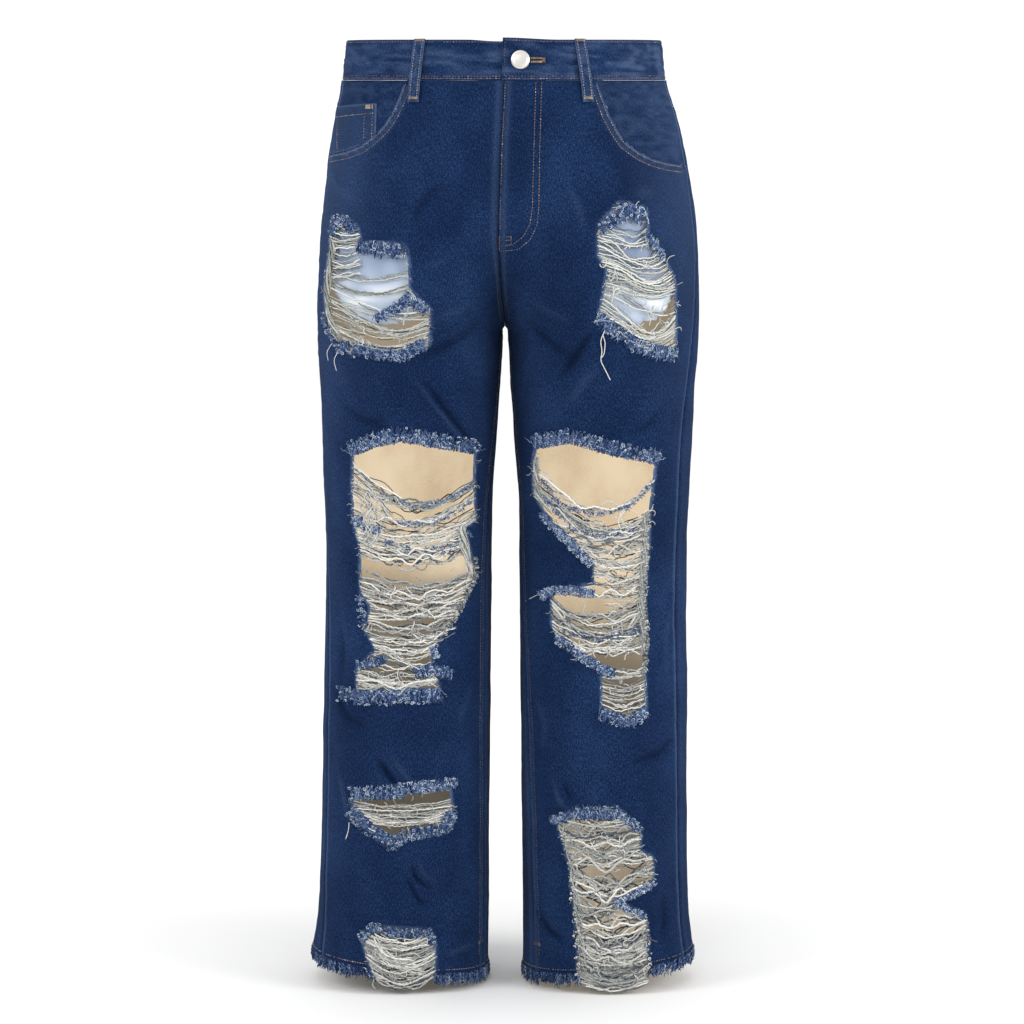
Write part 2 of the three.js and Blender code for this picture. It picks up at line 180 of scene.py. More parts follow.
# creases: (height mm, width mm, [(x, z) ...]), below 0 for a trough
creaseLines = {
    (-1, 1): [
        (2.0, 5, [(-100, -318), (-76, -352), (-49, -388), (-40, -404)]),
        (-1.7, 6, [(-92, -318), (-67, -354), (-41, -388), (-32, -402)]),
        (-1.5, 12, [(-14, -262), (-52, -290), (-96, -312)]),
        (1.2, 9, [(-16, -240), (-60, -262), (-92, -280)]),
        (-1.8, 7, [(-139, -728), (-124, -750), (-106, -775)]),
        (1.4, 7, [(-126, -722), (-110, -745), (-92, -768)]),
        (1.8, 7, [(-178, -744), (-170, -780), (-163, -812)]),
        (-1.6, 5, [(-101, -840), (-95, -864), (-74, -878)]),
        (1.3, 5, [(-94, -836), (-87, -858), (-68, -870)]),
        (-1.6, 5, [(-112, -848), (-92, -886), (-78, -898)]),
        (1.2, 5, [(-106, -852), (-84, -892), (-70, -903)]),
        (1.5, 6, [(-74, -951), (-50, -944), (-28, -937)]),
        (-1.1, 8, [(-178, -560), (-172, -620), (-176, -680)]),
        (1.1, 10, [(-30, -640), (-48, -690), (-40, -740)]),
        (-1.2, 8, [(-190, -640), (-170, -690), (-120, -716)]),
        (1.0, 10, [(-188, -100), (-176, -130), (-140, -150)]),
        (-1.1, 10, [(-60, -120), (-88, -150), (-98, -180)]),
        (1.0, 10, [(-40, -190), (-70, -210), (-88, -216)]),
        (-1.2, 9, [(-176, -350), (-150, -372), (-110, -380)]),
    ],
    (1, 1): [
        (-2.0, 8, [(98, -268), (76, -300), (52, -336)]),
        (1.4, 9, [(108, -300), (84, -330), (58, -364)]),
        (-1.3, 12, [(12, -262), (44, -288), (74, -312)]),
        (1.2, 9, [(10, -236), (44, -258), (80, -270)]),
        (1.6, 6, [(50, -752), (58, -780), (70, -794)]),
        (-1.4, 6, [(58, -748), (67, -774), (80, -786)]),
        (1.2, 9, [(178, -560), (168, -610), (172, -660)]),
        (-1.3, 9, [(186, -700), (168, -728), (120, -742)]),
        (1.1, 9, [(30, -660), (44, -700), (38, -740)]),
        (-1.2, 8, [(170, -350), (150, -378), (118, -390)]),
        (1.0, 10, [(170, -130), (150, -136), (116, -140)]),
        (-1.2, 9, [(168, -880), (172, -910), (166, -940)]),
        (1.1, 9, [(60, -120), (76, -150), (84, -190)]),
        (-1.3, 7, [(30, -900), (48, -925), (66, -935)]),
    ],
    (-1, -1): [
        (-1.8, 9, [(-24, -286), (-70, -300), (-130, -296), (-170, -280)]),
        (1.5, 8, [(-30, -304), (-80, -318), (-140, -314)]),
        (-1.7, 7, [(-40, -500), (-90, -520), (-150, -512), (-184, -494)]),
        (1.6, 7, [(-36, -520), (-90, -541), (-150, -532), (-180, -516)]),
        (-1.7, 7, [(-40, -548), (-96, -566), (-150, -556)]),
        (1.5, 8, [(-50, -580), (-104, -592), (-160, -574)]),
        (-1.5, 8, [(-60, -740), (-90, -790), (-84, -840)]),
        (1.5, 8, [(-140, -720), (-128, -770), (-140, -820)]),
        (-1.3, 7, [(-60, -905), (-104, -924), (-150, -914)]),
        (1.2, 8, [(-20, -150), (-50, -190), (-60, -240)]),
    ],
    (1, -1): [
        (-1.8, 9, [(24, -282), (72, -298), (128, -294), (172, -276)]),
        (1.5, 8, [(30, -300), (84, -316), (144, -310)]),
        (-1.7, 7, [(38, -504), (92, -522), (148, -508), (182, -492)]),
        (1.6, 7, [(36, -526), (94, -542), (152, -530), (182, -512)]),
        (-1.7, 7, [(44, -552), (98, -566), (156, -552)]),
        (1.5, 8, [(52, -584), (100, -594), (162, -578)]),
        (-1.5, 8, [(62, -736), (92, -784), (80, -846)]),
        (1.5, 8, [(142, -726), (126, -776), (138, -824)]),
        (-1.3, 7, [(58, -902), (106, -922), (152, -916)]),
        (1.2, 8, [(22, -154), (48, -194), (62, -236)]),
    ],
}
creases = {}
for (side, face), lines in creaseLines.items():
    creases[side, face] = []
    for tall, wide, points in lines:
        share = np.linspace(0, len(points) - 1, 4 * len(points))
        x, z = (np.interp(share, range(len(points)), axis) for axis in zip(*points))
        creases[side, face].append((tall, wide, skin(side, *seenAt(side, x, z, face))))


slack = {"swell": 0.55, "ripple": 0.22, "creaseHeight": 1.7, "creaseWidth": 0.62}


# height of the cloth over its plain form: soft ridges and troughs, and a slight unevenness
def relief(side, at):
    flat = at.reshape(-1, 3)
    height = slack["swell"] * grain(flat[:, 2] / 31 + 20 * side, flat[:, 0] / 27 + flat[:, 1] / 33)
    height += slack["ripple"] * grain(flat[:, 2] / 9 + 7, flat[:, 0] / 11 + flat[:, 1] / 12 + 40)
    for face in (1, -1):
        for tall, wide, line in creases[side, face]:
            near = np.abs(flat[:, 2] - line[:, 2].mean()) < np.ptp(line[:, 2]) / 2 + 2.5 * wide
            p = flat[near][:, None]
            a, ab = line[:-1], np.diff(line, axis=0)
            t = np.clip(((p - a) * ab).sum(-1) / (ab * ab).sum(-1), 0, 1)
            d = np.linalg.norm(p - a - t[..., None] * ab, axis=-1)
            k = d.argmin(1)
            here = np.arange(len(k))
            along = (k + t[here, k]) / len(ab)
            height[near] += slack["creaseHeight"] * tall * np.exp(
                -((d[here, k] / (slack["creaseWidth"] * wide)) ** 2)) * np.sin(
                math.pi * np.clip(along, 0.08, 0.92))
    return height.reshape(at.shape[:-1])


# a point of the creased cloth at a row height and turn, moved out along the normal
def cloth(side, z, turn, out=0.0, creased=1.0):
    at = skin(side, z, turn)
    height = creased * relief(side, at) if creased else 0.0
    return at + outward(side, z, turn) * (height + np.broadcast_to(out, at.shape[:-1]))[..., None]


# the same for a point seen at x, z from the front or the back
def onCloth(x, z, face, out, side=None, creased=1.0):
    x, z = np.broadcast_arrays(np.asarray(x, float), np.asarray(z, float))
    if side is not None:
        return cloth(side, *seenAt(side, x, z, face), out, creased)
    right = x < centreLine(z)
    a = cloth(-1, *seenAt(-1, x, z, face), out, creased)
    b = cloth(1, *seenAt(1, x, z, face), out, creased)
    return np.where(right[..., None], a, b)


# mesh helpers
def smoothMesh(name, points, faceSets, slots, values=None, uv=None):
    mesh = bpy.data.meshes.new(name)
    loops = np.concatenate([np.asarray(f, np.int32).ravel() for f in faceSets])
    sizes = np.concatenate([np.full(len(f), np.shape(f)[1], np.int32) for f in faceSets])
    starts = np.concatenate([[0], np.cumsum(sizes)[:-1]]).astype(np.int32)
    mesh.vertices.add(len(points))
    mesh.vertices.foreach_set("co", (np.asarray(points) * 0.001).astype(np.float32).ravel())
    mesh.loops.add(len(loops))
    mesh.loops.foreach_set("vertex_index", loops)
    mesh.polygons.add(len(sizes))
    mesh.polygons.foreach_set("loop_start", starts)
    mesh.polygons.foreach_set("use_smooth", np.ones(len(sizes), bool))
    mesh.update(calc_edges=True)
    for label, value in (values or {}).items():
        layer = mesh.attributes.new(label, "FLOAT", "POINT")
        layer.data.foreach_set("value", np.asarray(value, np.float32).ravel())
    if uv is not None:
        layer = mesh.uv_layers.new(name="flat")
        layer.data.foreach_set("uv", (uv[loops] * 0.001).astype(np.float32).ravel())
    thing = bpy.data.objects.new(name, mesh)
    scene.collection.objects.link(thing)
    for material in slots:
        mesh.materials.append(material)
    return thing


def finishPiece(thing, slotName, *nodes):
    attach(thing, "root")
    if nodes:
        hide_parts(*nodes)
    return thing


def insideOutline(x, z, outline):
    inside = np.zeros(np.shape(x), bool)
    ends = np.asarray(outline, float)
    for (x0, z0), (x1, z1) in zip(ends, np.roll(ends, -1, 0)):
        if z0 == z1:
            continue
        crosses = (z0 > z) != (z1 > z)
        inside ^= crosses & (x < (x1 - x0) * (z - z0) / (z1 - z0) + x0)
    return inside


# distance to a closed outline and the nearest point on it
def toOutline(x, z, outline):
    a = np.asarray(outline, float)
    ab = np.roll(a, -1, 0) - a
    p = np.stack([x, z], -1)[..., None, :]
    t = np.clip(((p - a) * ab).sum(-1) / (ab * ab).sum(-1), 0, 1)
    spots = a + t[..., None] * ab
    d = np.linalg.norm(p - spots, axis=-1)
    k = d.argmin(-1)[..., None]
    near = np.take_along_axis(spots, k[..., None], -2)[..., 0, :]
    return np.take_along_axis(d, k, -1)[..., 0], near


# the turns of a panel's two long edges: outer seam, then centre seam or, below the fork, inner seam
def panelEnds(name, face, z):
    side = sideOf[name]
    seamHalf = math.degrees(gap / 2 / 100)
    start = outseam[name](z) + face * seamHalf
    centreSeam = turnAt(side, z, centreLine(z) + side * gap / 2, face)
    below = 180 - inseam[name](z) if face > 0 else -180 - inseam[name](z)
    return start, np.where(z >= crotchZ, centreSeam, below - face * seamHalf)


# a panel's turns, evenly spaced round the leg at each row: (rows, columns) and arc lengths in mm
def panelTurns(name, face, heights, columns):
    side = sideOf[name]
    start, end = panelEnds(name, face, heights)
    share = np.linspace(0, 1, 181)
    turns = start[:, None] + (end - start)[:, None] * share
    at = skin(side, heights[:, None], turns)
    steps = np.linalg.norm(np.diff(at, axis=1), axis=-1)
    arc = np.concatenate([np.zeros((len(heights), 1)), np.cumsum(steps, 1)], 1)
    even = np.linspace(0, 1, columns + 1)
    spread = [np.interp(even * a[-1], a, t) for a, t in zip(arc, turns)]
    return np.array(spread), even * arc[:, -1:]


# a skin gets its thickness inwards: faces outside, the reverse inside, a frayed rim
def thicken(thing, thick):
    wall = thing.modifiers.new("wall", "SOLIDIFY")
    wall.thickness = thick * 0.001
    wall.offset = -1
    wall.use_rim = True
    slots = len(thing.data.materials)
    if slots > 1:
        wall.material_offset = 1
        wall.material_offset_rim = min(2, slots - 1)
    area = sum(face.area for face in thing.data.polygons)
    print(thing.name, "area", round(area, 4), "faces", len(thing.data.polygons))
    return thing


def gridQuads(shape, flip):
    index = np.arange(shape[0] * shape[1]).reshape(shape)
    quads = np.stack([index[:-1, :-1], index[1:, :-1], index[1:, 1:], index[:-1, 1:]], -1)
    return quads.reshape(-1, 4)[:, ::-1] if flip else quads.reshape(-1, 4)


# a strip or patch from a grid of points (rows, columns, 3), its face out unless flipped
def gridPiece(name, points, uv, slots, thick, wearAndShade=None, drop=None, flip=False):
    quads = gridQuads(points.shape[:2], flip)
    if drop is not None:
        quads = quads[~drop.ravel()]
    wearAndShade = np.zeros(points.shape[:2]) if wearAndShade is None else wearAndShade
    used, quads = np.unique(quads, return_inverse=True)
    thing = smoothMesh(name, points.reshape(-1, 3)[used], [quads.reshape(-1, 4)], slots,
                       {"wearAndShade": wearAndShade.reshape(-1)[used]}, uv.reshape(-1, 2)[used])
    return thicken(thing, thick)


# painted light on the reverse, by height down the leg: where high it glows cream, brightest at the
# knees, where low it is greyer, a painted shade
reverseLit = {
    "right": track((-965, 0.4), (-900, 0.3), (-850, 0.3), (-790, 0.3), (-700, 0.38), (-640, 0.4),
                   (-575, 0.6), (-540, 1), (-400, 1), (-320, 0.6), (-200, 0.5), (0, 0.5)),
    "left": track((-965, 0.7), (-880, 0.7), (-790, 0.55), (-690, 0.3), (-630, 0.6), (-560, 1),
                  (-400, 1), (-320, 0.6), (-200, 0.5), (0, 0.5)),
}


# a seam's dip and the ridge beside it: depth, reach, the ridge's height, place and reach
seamShape = {"outer": (1.1, 1.5, 0.7, 4.5, 3), "inner": (0.9, 1.4, 0.6, 5, 3.2)}


def seamDip(far, ripple, kind):
    depth, reach, ridge, ridgeAt, ridgeReach = seamShape[kind]
    crest = (ridge + ripple) * np.exp(-(((far - ridgeAt) / ridgeReach) ** 2))
    return -depth * np.exp(-((far / reach) ** 2)) + crest


# a cloth piece on one panel's own lines: kept inside the keep outlines, cut by the drop ones,
# with grid points near an outline moved onto it
def tailor(name, label, face, rows, columns, look, slots, out=0.0, keep=(), drop=(), rowZ=None,
           thick=clothThick, cell=1.85, seams=(1.0, 1.0), puff=None):
    side = sideOf[name]
    turn, arc = panelTurns(name, face, np.asarray(rows, float), columns)
    z = np.repeat(np.asarray(rows, float)[:, None], columns + 1, 1)
    if rowZ:  # slanted rows still run from seam to seam
        first, last = panelEnds(name, face, z)
        share = (turn - first) / (last - first)
        for _ in range(4):
            z = rowZ(turn)
            first, last = panelEnds(name, face, z)
            turn = first + (last - first) * share
    at = skin(side, z, turn)
    width = arc[:, -1:]
    for outline in (*keep, *drop):
        d, near = toOutline(at[..., 0], at[..., 2], outline)
        close = d < cell
        if close.any():
            z = z.copy()
            z[close], turn[close] = seenAt(side, *near[close].T, face)
            at = skin(side, z, turn)
    height = relief(side, at) + out
    if puff:
        height = height + puff(at)
    ripple = grain(at[..., 2] / 4.5, arc * 0 + face * 9 + side) * 0.35
    innerArc = width - arc
    height = height + seams[0] * seamDip(arc, ripple, "outer") + seams[1] * seamDip(
        innerArc, ripple, "inner")
    shift = outward(side, z, turn) * height[..., None]
    centreSeam = np.exp(-((innerArc / 7) ** 2)) * ease(crotchZ - 12, crotchZ, z)
    shift[..., 0] *= 1 - centreSeam  # the two halves keep meeting at the centre seam
    shift[..., 0] -= side * (gap / 2 - 0.03) * centreSeam  # and close up to it
    points = at + shift
    quads = gridQuads(z.shape, side * face > 0)
    flat = at.reshape(-1, 3)
    middle = flat[quads].mean(1)
    stay = np.ones(len(quads), bool)
    for outline in keep:
        stay &= insideOutline(middle[:, 0], middle[:, 2], outline)
    for outline in drop:
        stay &= ~insideOutline(middle[:, 0], middle[:, 2], outline)
    quads = quads[stay]
    used, quads = np.unique(quads, return_inverse=True)
    quads = quads.reshape(-1, 4)
    uv = np.stack([arc + side * 400, z], -1).reshape(-1, 2)[used]
    wearAndShade = look(at, arc, width)
    # the reverse's painted light falls off towards the panel's two seams: painted shade at its sides
    lit = reverseLit[name](z) * (1 - 0.65 * np.abs(2 * arc / width - 1) ** 3)
    print(label, "widest", round(float(width.max()), 1), "mm")
    thing = smoothMesh(label, points.reshape(-1, 3)[used], [quads], slots,
                       {"wearAndShade": wearAndShade.reshape(-1)[used], "lit": lit.reshape(-1)[used]}, uv)
    return thicken(thing, thick)


# yarns: ring k of a yarn = path + radius (cos a_k across + sin a_k up), ends drawn to a point
def yarnMesh(paths, radius, sides):
    paths = np.asarray(paths, float)
    n, p, _ = paths.shape
    radius = np.broadcast_to(np.asarray(radius, float).reshape(n, -1), (n, p)).copy()
    radius[:, 0] *= 0.45
    radius[:, -1] *= 0.35
    run = np.gradient(paths, axis=1)
    run /= np.maximum(np.linalg.norm(run, axis=-1, keepdims=True), 1e-9)
    across = np.cross(run, [0.12, 1.0, 0.17])
    across /= np.maximum(np.linalg.norm(across, axis=-1, keepdims=True), 1e-9)
    up = np.cross(across, run)
    a = 2 * math.pi * np.arange(sides) / sides
    ring = np.cos(a)[:, None] * across[:, :, None] + np.sin(a)[:, None] * up[:, :, None]
    points = paths[:, :, None] + radius[..., None, None] * ring
    base = (np.arange(n) * p * sides)[:, None, None]
    i = np.arange(p - 1)[None, :, None] * sides
    k = np.arange(sides)[None, None, :]
    m = (k + 1) % sides
    quads = np.stack(np.broadcast_arrays(base + i + k, base + i + sides + k,
                                         base + i + sides + m, base + i + m), -1).reshape(-1, 4)
    first = base[:, :, 0] + np.arange(sides)
    last = base[:, :, 0] + (p - 1) * sides + np.arange(sides)[::-1]
    return points.reshape(-1, 3), quads, np.concatenate([first, last])


# gathers yarns of one kind, then joins them into one mesh
class yarnHeap:
    def __init__(self):
        self.points, self.quads, self.caps, self.tone, self.count = [], [], [], [], 0

    def add(self, paths, radius, tone, sides=4):
        if not len(paths):
            return
        points, quads, caps = yarnMesh(paths, radius, sides)
        self.quads.append(quads + self.count)
        self.caps.append(caps + self.count)
        each = np.shape(paths)[1] * sides
        self.tone.append(np.repeat(np.broadcast_to(tone, (len(paths),)), each))
        self.points.append(points)
        self.count += len(points)

    # yarns seen at x, z from the front, lifted out mm off the cloth, each with its own tone
    def lay(self, x, z, out, side, radius, tone, spread, sides=3):
        tones = np.clip(tone + rng.normal(0, spread, len(x)), 0, 1)
        self.add(onCloth(x, z, 1, out, side), radius, tones, sides)

    def join(self, name, slots):
        by = {}
        for faces in self.quads + self.caps:
            by.setdefault(faces.shape[1], []).append(faces)
        sets = [np.concatenate(f) for f in by.values()]
        return smoothMesh(name, np.concatenate(self.points), sets, slots,
                          {"tone": np.concatenate(self.tone)})


# stitches: short bars along a line of points, each sunk into the cloth at its ends
def stitchBars(heap, line, normal, pitch=3.0, length=2.3, radius=0.42, tone=0.5, spread=0.12,
               seed=1, drop=0.0):
    rng = np.random.default_rng(seed)
    line = np.asarray(line, float)
    normal = np.asarray(normal, float)
    far = runLength(line)
    count = max(int(far[-1] / pitch), 1)
    s = (np.arange(count) + 0.5) * far[-1] / count
    s = s[rng.random(count) >= drop]
    t = np.array([-0.5, -0.2, 0.2, 0.5]) * length
    where = s[:, None] + t
    at = np.stack([np.interp(where, far, line[:, k]) for k in range(3)], -1)
    n = np.stack([np.interp(where, far, normal[:, k]) for k in range(3)], -1)
    lift = np.array([-0.6, 0.2, 0.2, -0.6]) * radius * 1.6
    heap.add(at + n * lift[:, None], radius * rng.uniform(0.85, 1.1, (len(s), 1)),
             np.clip(tone + rng.normal(0, spread, len(s)), 0, 1), 3)


# materials
def linear(r, g, b):
    return tuple(((c / 255 + 0.055) / 1.055) ** 2.4 if c > 10 else c / 255 / 12.92
                 for c in (r, g, b)) + (1.0,)


# wires one material
class clothLook:
    def __init__(self, name):
        self.material = bpy.data.materials.new(name)
        self.material.use_nodes = True
        self.nodes = self.material.node_tree.nodes
        self.links = self.material.node_tree.links
        self.surface = self.nodes["Principled BSDF"]

    def put(self, kind, settings, **inputs):
        node = self.nodes.new("ShaderNode" + kind)
        for key, value in (settings or {}).items():
            setattr(node, key, value)
        for key, value in inputs.items():
            self.plug(node.inputs[int(key[1:]) if key[0] == "i" and key[1:].isdigit() else key], value)
        return node.outputs[0]

    def plug(self, socket, value):
        if isinstance(value, bpy.types.NodeSocket):
            self.links.new(value, socket)
        else:
            socket.default_value = value

    def math(self, operation, a, b=0.0, clamp=False):
        return self.put("Math", {"operation": operation, "use_clamp": clamp}, i0=a, i1=b)

    def mix(self, share, a, b):
        node = self.nodes.new("ShaderNodeMix")
        node.data_type = "RGBA"
        self.plug(node.inputs[0], share)
        self.plug(node.inputs[6], a)
        self.plug(node.inputs[7], b)
        return node.outputs[2]

    def uv(self, across, along):
        flat = self.put("UVMap", {"uv_map": "flat"})
        return self.put("VectorMath", {"operation": "MULTIPLY"}, i0=flat, i1=(across, along, 1.0))

    def noise(self, vector, scale=1.0, detail=2.0, rough=0.5):
        return self.put("TexNoise", None, Vector=vector, Scale=scale, Detail=detail, Roughness=rough)

    def attribute(self, name):
        node = self.nodes.new("ShaderNodeAttribute")
        node.attribute_name = name
        return node.outputs["Fac"]

    def ramp(self, value, *stops):
        node = self.nodes.new("ShaderNodeValToRGB")
        self.plug(node.inputs[0], value)
        line = node.color_ramp.elements
        while len(line) < len(stops):
            line.new(0.5)
        for stop, (place, colour) in zip(line, stops):
            stop.position, stop.color = place, colour
        return node.outputs[0]

    def span(self, value, low, high, a=0.0, b=1.0):
        return self.put("MapRange", None, Value=value, i1=low, i2=high, i3=a, i4=b)

    def bump(self, height, distance, strength):
        node = self.nodes.new("ShaderNodeBump")
        node.inputs["Distance"].default_value = distance
        node.inputs["Strength"].default_value = strength
        self.plug(node.inputs["Height"], height)
        self.links.new(node.outputs[0], self.surface.inputs["Normal"])

    def set(self, **values):
        for key, value in values.items():
            self.plug(self.surface.inputs[key.replace("_", " ")], value)
        return self.material


denimLook = {
    "dark": linear(5, 15, 38), "mid": linear(15, 34, 66), "light": linear(46, 70, 110),
    "pale": linear(96, 118, 154), "twill": 0.0011, "slubWidth": 760, "slubLength": 260,
    "speck": 900, "cloud": 15, "sheen": 0.07,
}


def denimMaterial(name, fade):
    d = denimLook
    s = clothLook(name)
    slub = s.noise(s.uv(d["slubWidth"], d["slubLength"]), 1.0, 3.0, 0.6)
    speck = s.noise(s.uv(d["speck"], d["speck"] * 0.8), 1.0, 3.0, 0.65)
    cloud = s.noise(s.uv(d["cloud"], d["cloud"] * 0.7), 1.0, 4.0, 0.6)
    grid = s.uv(2 * math.pi / d["twill"], 2 * math.pi / d["twill"])
    parts = s.nodes.new("ShaderNodeSeparateXYZ")
    s.links.new(grid, parts.inputs[0])
    rib = s.math("SINE", s.math("ADD", parts.outputs[0], s.math("MULTIPLY", parts.outputs[1], 1.7)))
    tone = s.math("ADD", s.math("MULTIPLY", s.span(slub, 0.36, 0.64), 0.30),
                  s.math("MULTIPLY", s.span(speck, 0.38, 0.64), 0.44))
    tone = s.math("ADD", tone, s.math("MULTIPLY", s.span(cloud, 0.3, 0.7), 0.26))
    tone = s.math("ADD", tone, s.math("MULTIPLY", rib, 0.05))
    tone = s.math("ADD", tone, fade)
    colour = s.ramp(tone, (0.08, d["dark"]), (0.5, d["mid"]), (1.0, d["light"]))
    # the attribute above 0 turns the denim paler, for wear at seams, edges and tears and for painted
    # highlights on ridges; below 0 it darkens it, a painted shade in troughs
    wearAndShade = s.math("MULTIPLY", s.attribute("wearAndShade"), s.span(speck, 0.3, 0.62, 0.55, 1.25), True)
    colour = s.mix(wearAndShade, colour, d["pale"])
    troughShade = s.math("MULTIPLY", s.attribute("wearAndShade"), -1.7, True)
    colour = s.mix(troughShade, colour, d["dark"])
    s.bump(s.math("ADD", s.math("MULTIPLY", rib, 0.4), s.math("MULTIPLY", speck, 1.6)), 0.00035, 0.7)
    return s.set(Base_Color=colour, Roughness=0.9, Sheen_Weight=d["sheen"], Sheen_Roughness=0.45,
                 Sheen_Tint=linear(130, 160, 215), Specular_IOR_Level=0.04)


# the reverse: cream, mixed in soft clouds with a painted shade colour, turned to a painted shade grey
# where its painted light is low, and glowing with that light
reverseLook = {"cream": linear(232, 219, 194), "shade": linear(198, 180, 154),
               "paintedShadeGrey": linear(104, 103, 100), "fleck": 520, "glow": 0.52}
plainWeave = 900.0


def reverseMaterial(name):
    s = clothLook(name)
    fleck = s.noise(s.uv(reverseLook["fleck"], reverseLook["fleck"] * 0.7), 1.0, 3.0, 0.6)
    cloud = s.noise(s.uv(17, 12), 1.0, 3.0, 0.55)
    share = s.math("ADD", s.math("MULTIPLY", s.span(fleck, 0.3, 0.7), 0.3),
                   s.math("MULTIPLY", s.span(cloud, 0.36, 0.7), 0.75))
    s.bump(fleck, 0.0002, 0.5)
    colour = s.mix(share, reverseLook["cream"], reverseLook["shade"])
    colour = s.mix(s.attribute("lit"), reverseLook["paintedShadeGrey"], colour)
    # the reverse glows though it is no lamp: painted light, stronger where lit is high
    glow = s.math("MULTIPLY", s.math("ADD", s.attribute("lit"), 0.12), reverseLook["glow"])
    return s.set(Base_Color=colour, Roughness=0.92, Specular_IOR_Level=0.04, Emission_Color=colour,
                 Emission_Strength=glow)


def plainCloth(name, colour, darker):
    s = clothLook(name)
    weave = s.noise(s.uv(plainWeave, plainWeave), 1.0, 2.0, 0.5)
    s.bump(weave, 0.0002, 0.4)
    return s.set(Base_Color=s.mix(s.span(weave, 0.3, 0.7), colour, darker), Roughness=0.85,
                 Specular_IOR_Level=0.06)


def yarnMaterial(name, *stops, sheen=0.04):
    s = clothLook(name)
    place = s.nodes.new("ShaderNodeTexCoord").outputs["Object"]
    fluff = s.noise(place, 700.0, 2.0, 0.6)
    tone = s.math("ADD", s.attribute("tone"), s.span(fluff, 0.3, 0.7, -0.2, 0.2), True)
    s.bump(fluff, 0.0002, 0.5)
    return s.set(Base_Color=s.ramp(tone, *stops), Roughness=0.95, Sheen_Weight=sheen,
                 Specular_IOR_Level=0.03)


denim = denimMaterial("denim", 0.0)
bandDenim = denimMaterial("bandDenim", 0.06)
denimReverse = reverseMaterial("denimReverse")
frayedRim = plainCloth("frayedRim", linear(112, 132, 164), linear(58, 80, 120))
bag = clothLook("bagCotton")
# the cotton's colour follows the bag's painted shade and highlight, dark to light
bagShadeColour = bag.ramp(bag.attribute("wearAndShade"), (0.0, linear(104, 120, 146)), (0.5, linear(158, 170, 188)),
                  (1.0, linear(214, 219, 224)))
bag.bump(bag.noise(bag.uv(1400, 1400)), 0.0001, 0.3)
bagCotton = bag.set(Base_Color=bagShadeColour, Roughness=0.6, Specular_IOR_Level=0.12)
wornYarn = yarnMaterial(
    "wornYarn", (0.0, linear(30, 36, 50)), (0.3, linear(78, 85, 94)),
    (0.65, linear(150, 152, 149)), (1.0, linear(212, 210, 203)))
creamYarn = yarnMaterial(
    "creamYarn", (0.0, linear(50, 54, 60)), (0.3, linear(102, 105, 104)),
    (0.65, linear(164, 166, 160)), (1.0, linear(208, 209, 204)))
blueYarn = yarnMaterial(
    "blueYarn", (0.0, linear(12, 24, 52)), (0.35, linear(40, 60, 98)),
    (0.7, linear(98, 120, 154)), (1.0, linear(182, 192, 204)))
tanThread = yarnMaterial(
    "tanThread", (0.0, linear(44, 50, 68)), (0.4, linear(94, 84, 82)),
    (0.75, linear(142, 118, 96)), (1.0, linear(190, 176, 150)))
cloths = (denim, denimReverse, frayedRim)
bandCloths = (bandDenim, bandDenim, frayedRim)

# torn holes, as (x, z) outlines on the leg fronts
rips = {
    "rightThigh": [(-181, -162), (-167, -160), (-152, -172), (-150, -187), (-103, -190), (-100, -204),
                   (-99, -235), (-79, -254), (-79, -293), (-108, -306), (-168, -299), (-180, -282),
                   (-188, -269), (-191, -237), (-184, -196)],
    "rightKnee": [(-159, -404), (-109, -390), (-31, -405), (-33, -433), (-31, -480), (-43, -486),
                  (-37, -515), (-32, -539), (-44, -566), (-59, -590), (-78, -615), (-78, -632),
                  (-69, -659), (-111, -658), (-156, -663), (-156, -639), (-135, -616), (-148, -594),
                  (-141, -571), (-152, -556), (-152, -507), (-160, -477)],
    "rightShin": [(-162, -777), (-59, -768), (-56, -790), (-61, -810), (-108, -818), (-116, -827),
                  (-146, -810), (-162, -791)],
    "rightHem": [(-153, -929), (-138, -915), (-80, -921), (-75, -932), (-75, -953), (-77, -1000),
                 (-140, -1000), (-142, -965)],
    "leftThigh": [(120, -146), (147, -153), (148, -179), (165, -201), (177, -227), (178, -253),
                  (178, -304), (140, -293), (97, -266), (101, -246), (107, -216), (97, -201),
                  (97, -169)],
    "leftKnee": [(34, -399), (68, -392), (111, -405), (158, -414), (152, -465), (151, -499),
                 (147, -562), (150, -606), (148, -639), (149, -684), (131, -696), (103, -683),
                 (103, -638), (59, -608), (50, -591), (50, -555), (94, -546), (94, -520), (42, -470),
                 (31, -452), (30, -417)],
    "leftShin": [(56, -802), (76, -791), (117, -786), (144, -809), (143, -834), (158, -842),
                 (158, -868), (118, -886), (149, -903), (152, -919), (153, -1000), (80, -1000),
                 (78, -932), (75, -899), (71, -875), (70, -851)],
}
ripsOn = {name: [rips[k] for k in rips if k.startswith(name)] for name in sideOf}
scoop = {
    "right": [(-104, 10), (-104, -23), (-111, -41), (-117, -54), (-126, -68), (-137, -78), (-149, -87),
              (-166, -93), (-187, -96), (-240, -96), (-240, 10)],
    "left": [(95, 10), (95, -21), (102, -40), (108, -56), (116, -71), (125, -84), (139, -94),
             (155, -101), (171, -105), (187, -107), (240, -107), (240, 10)],
}


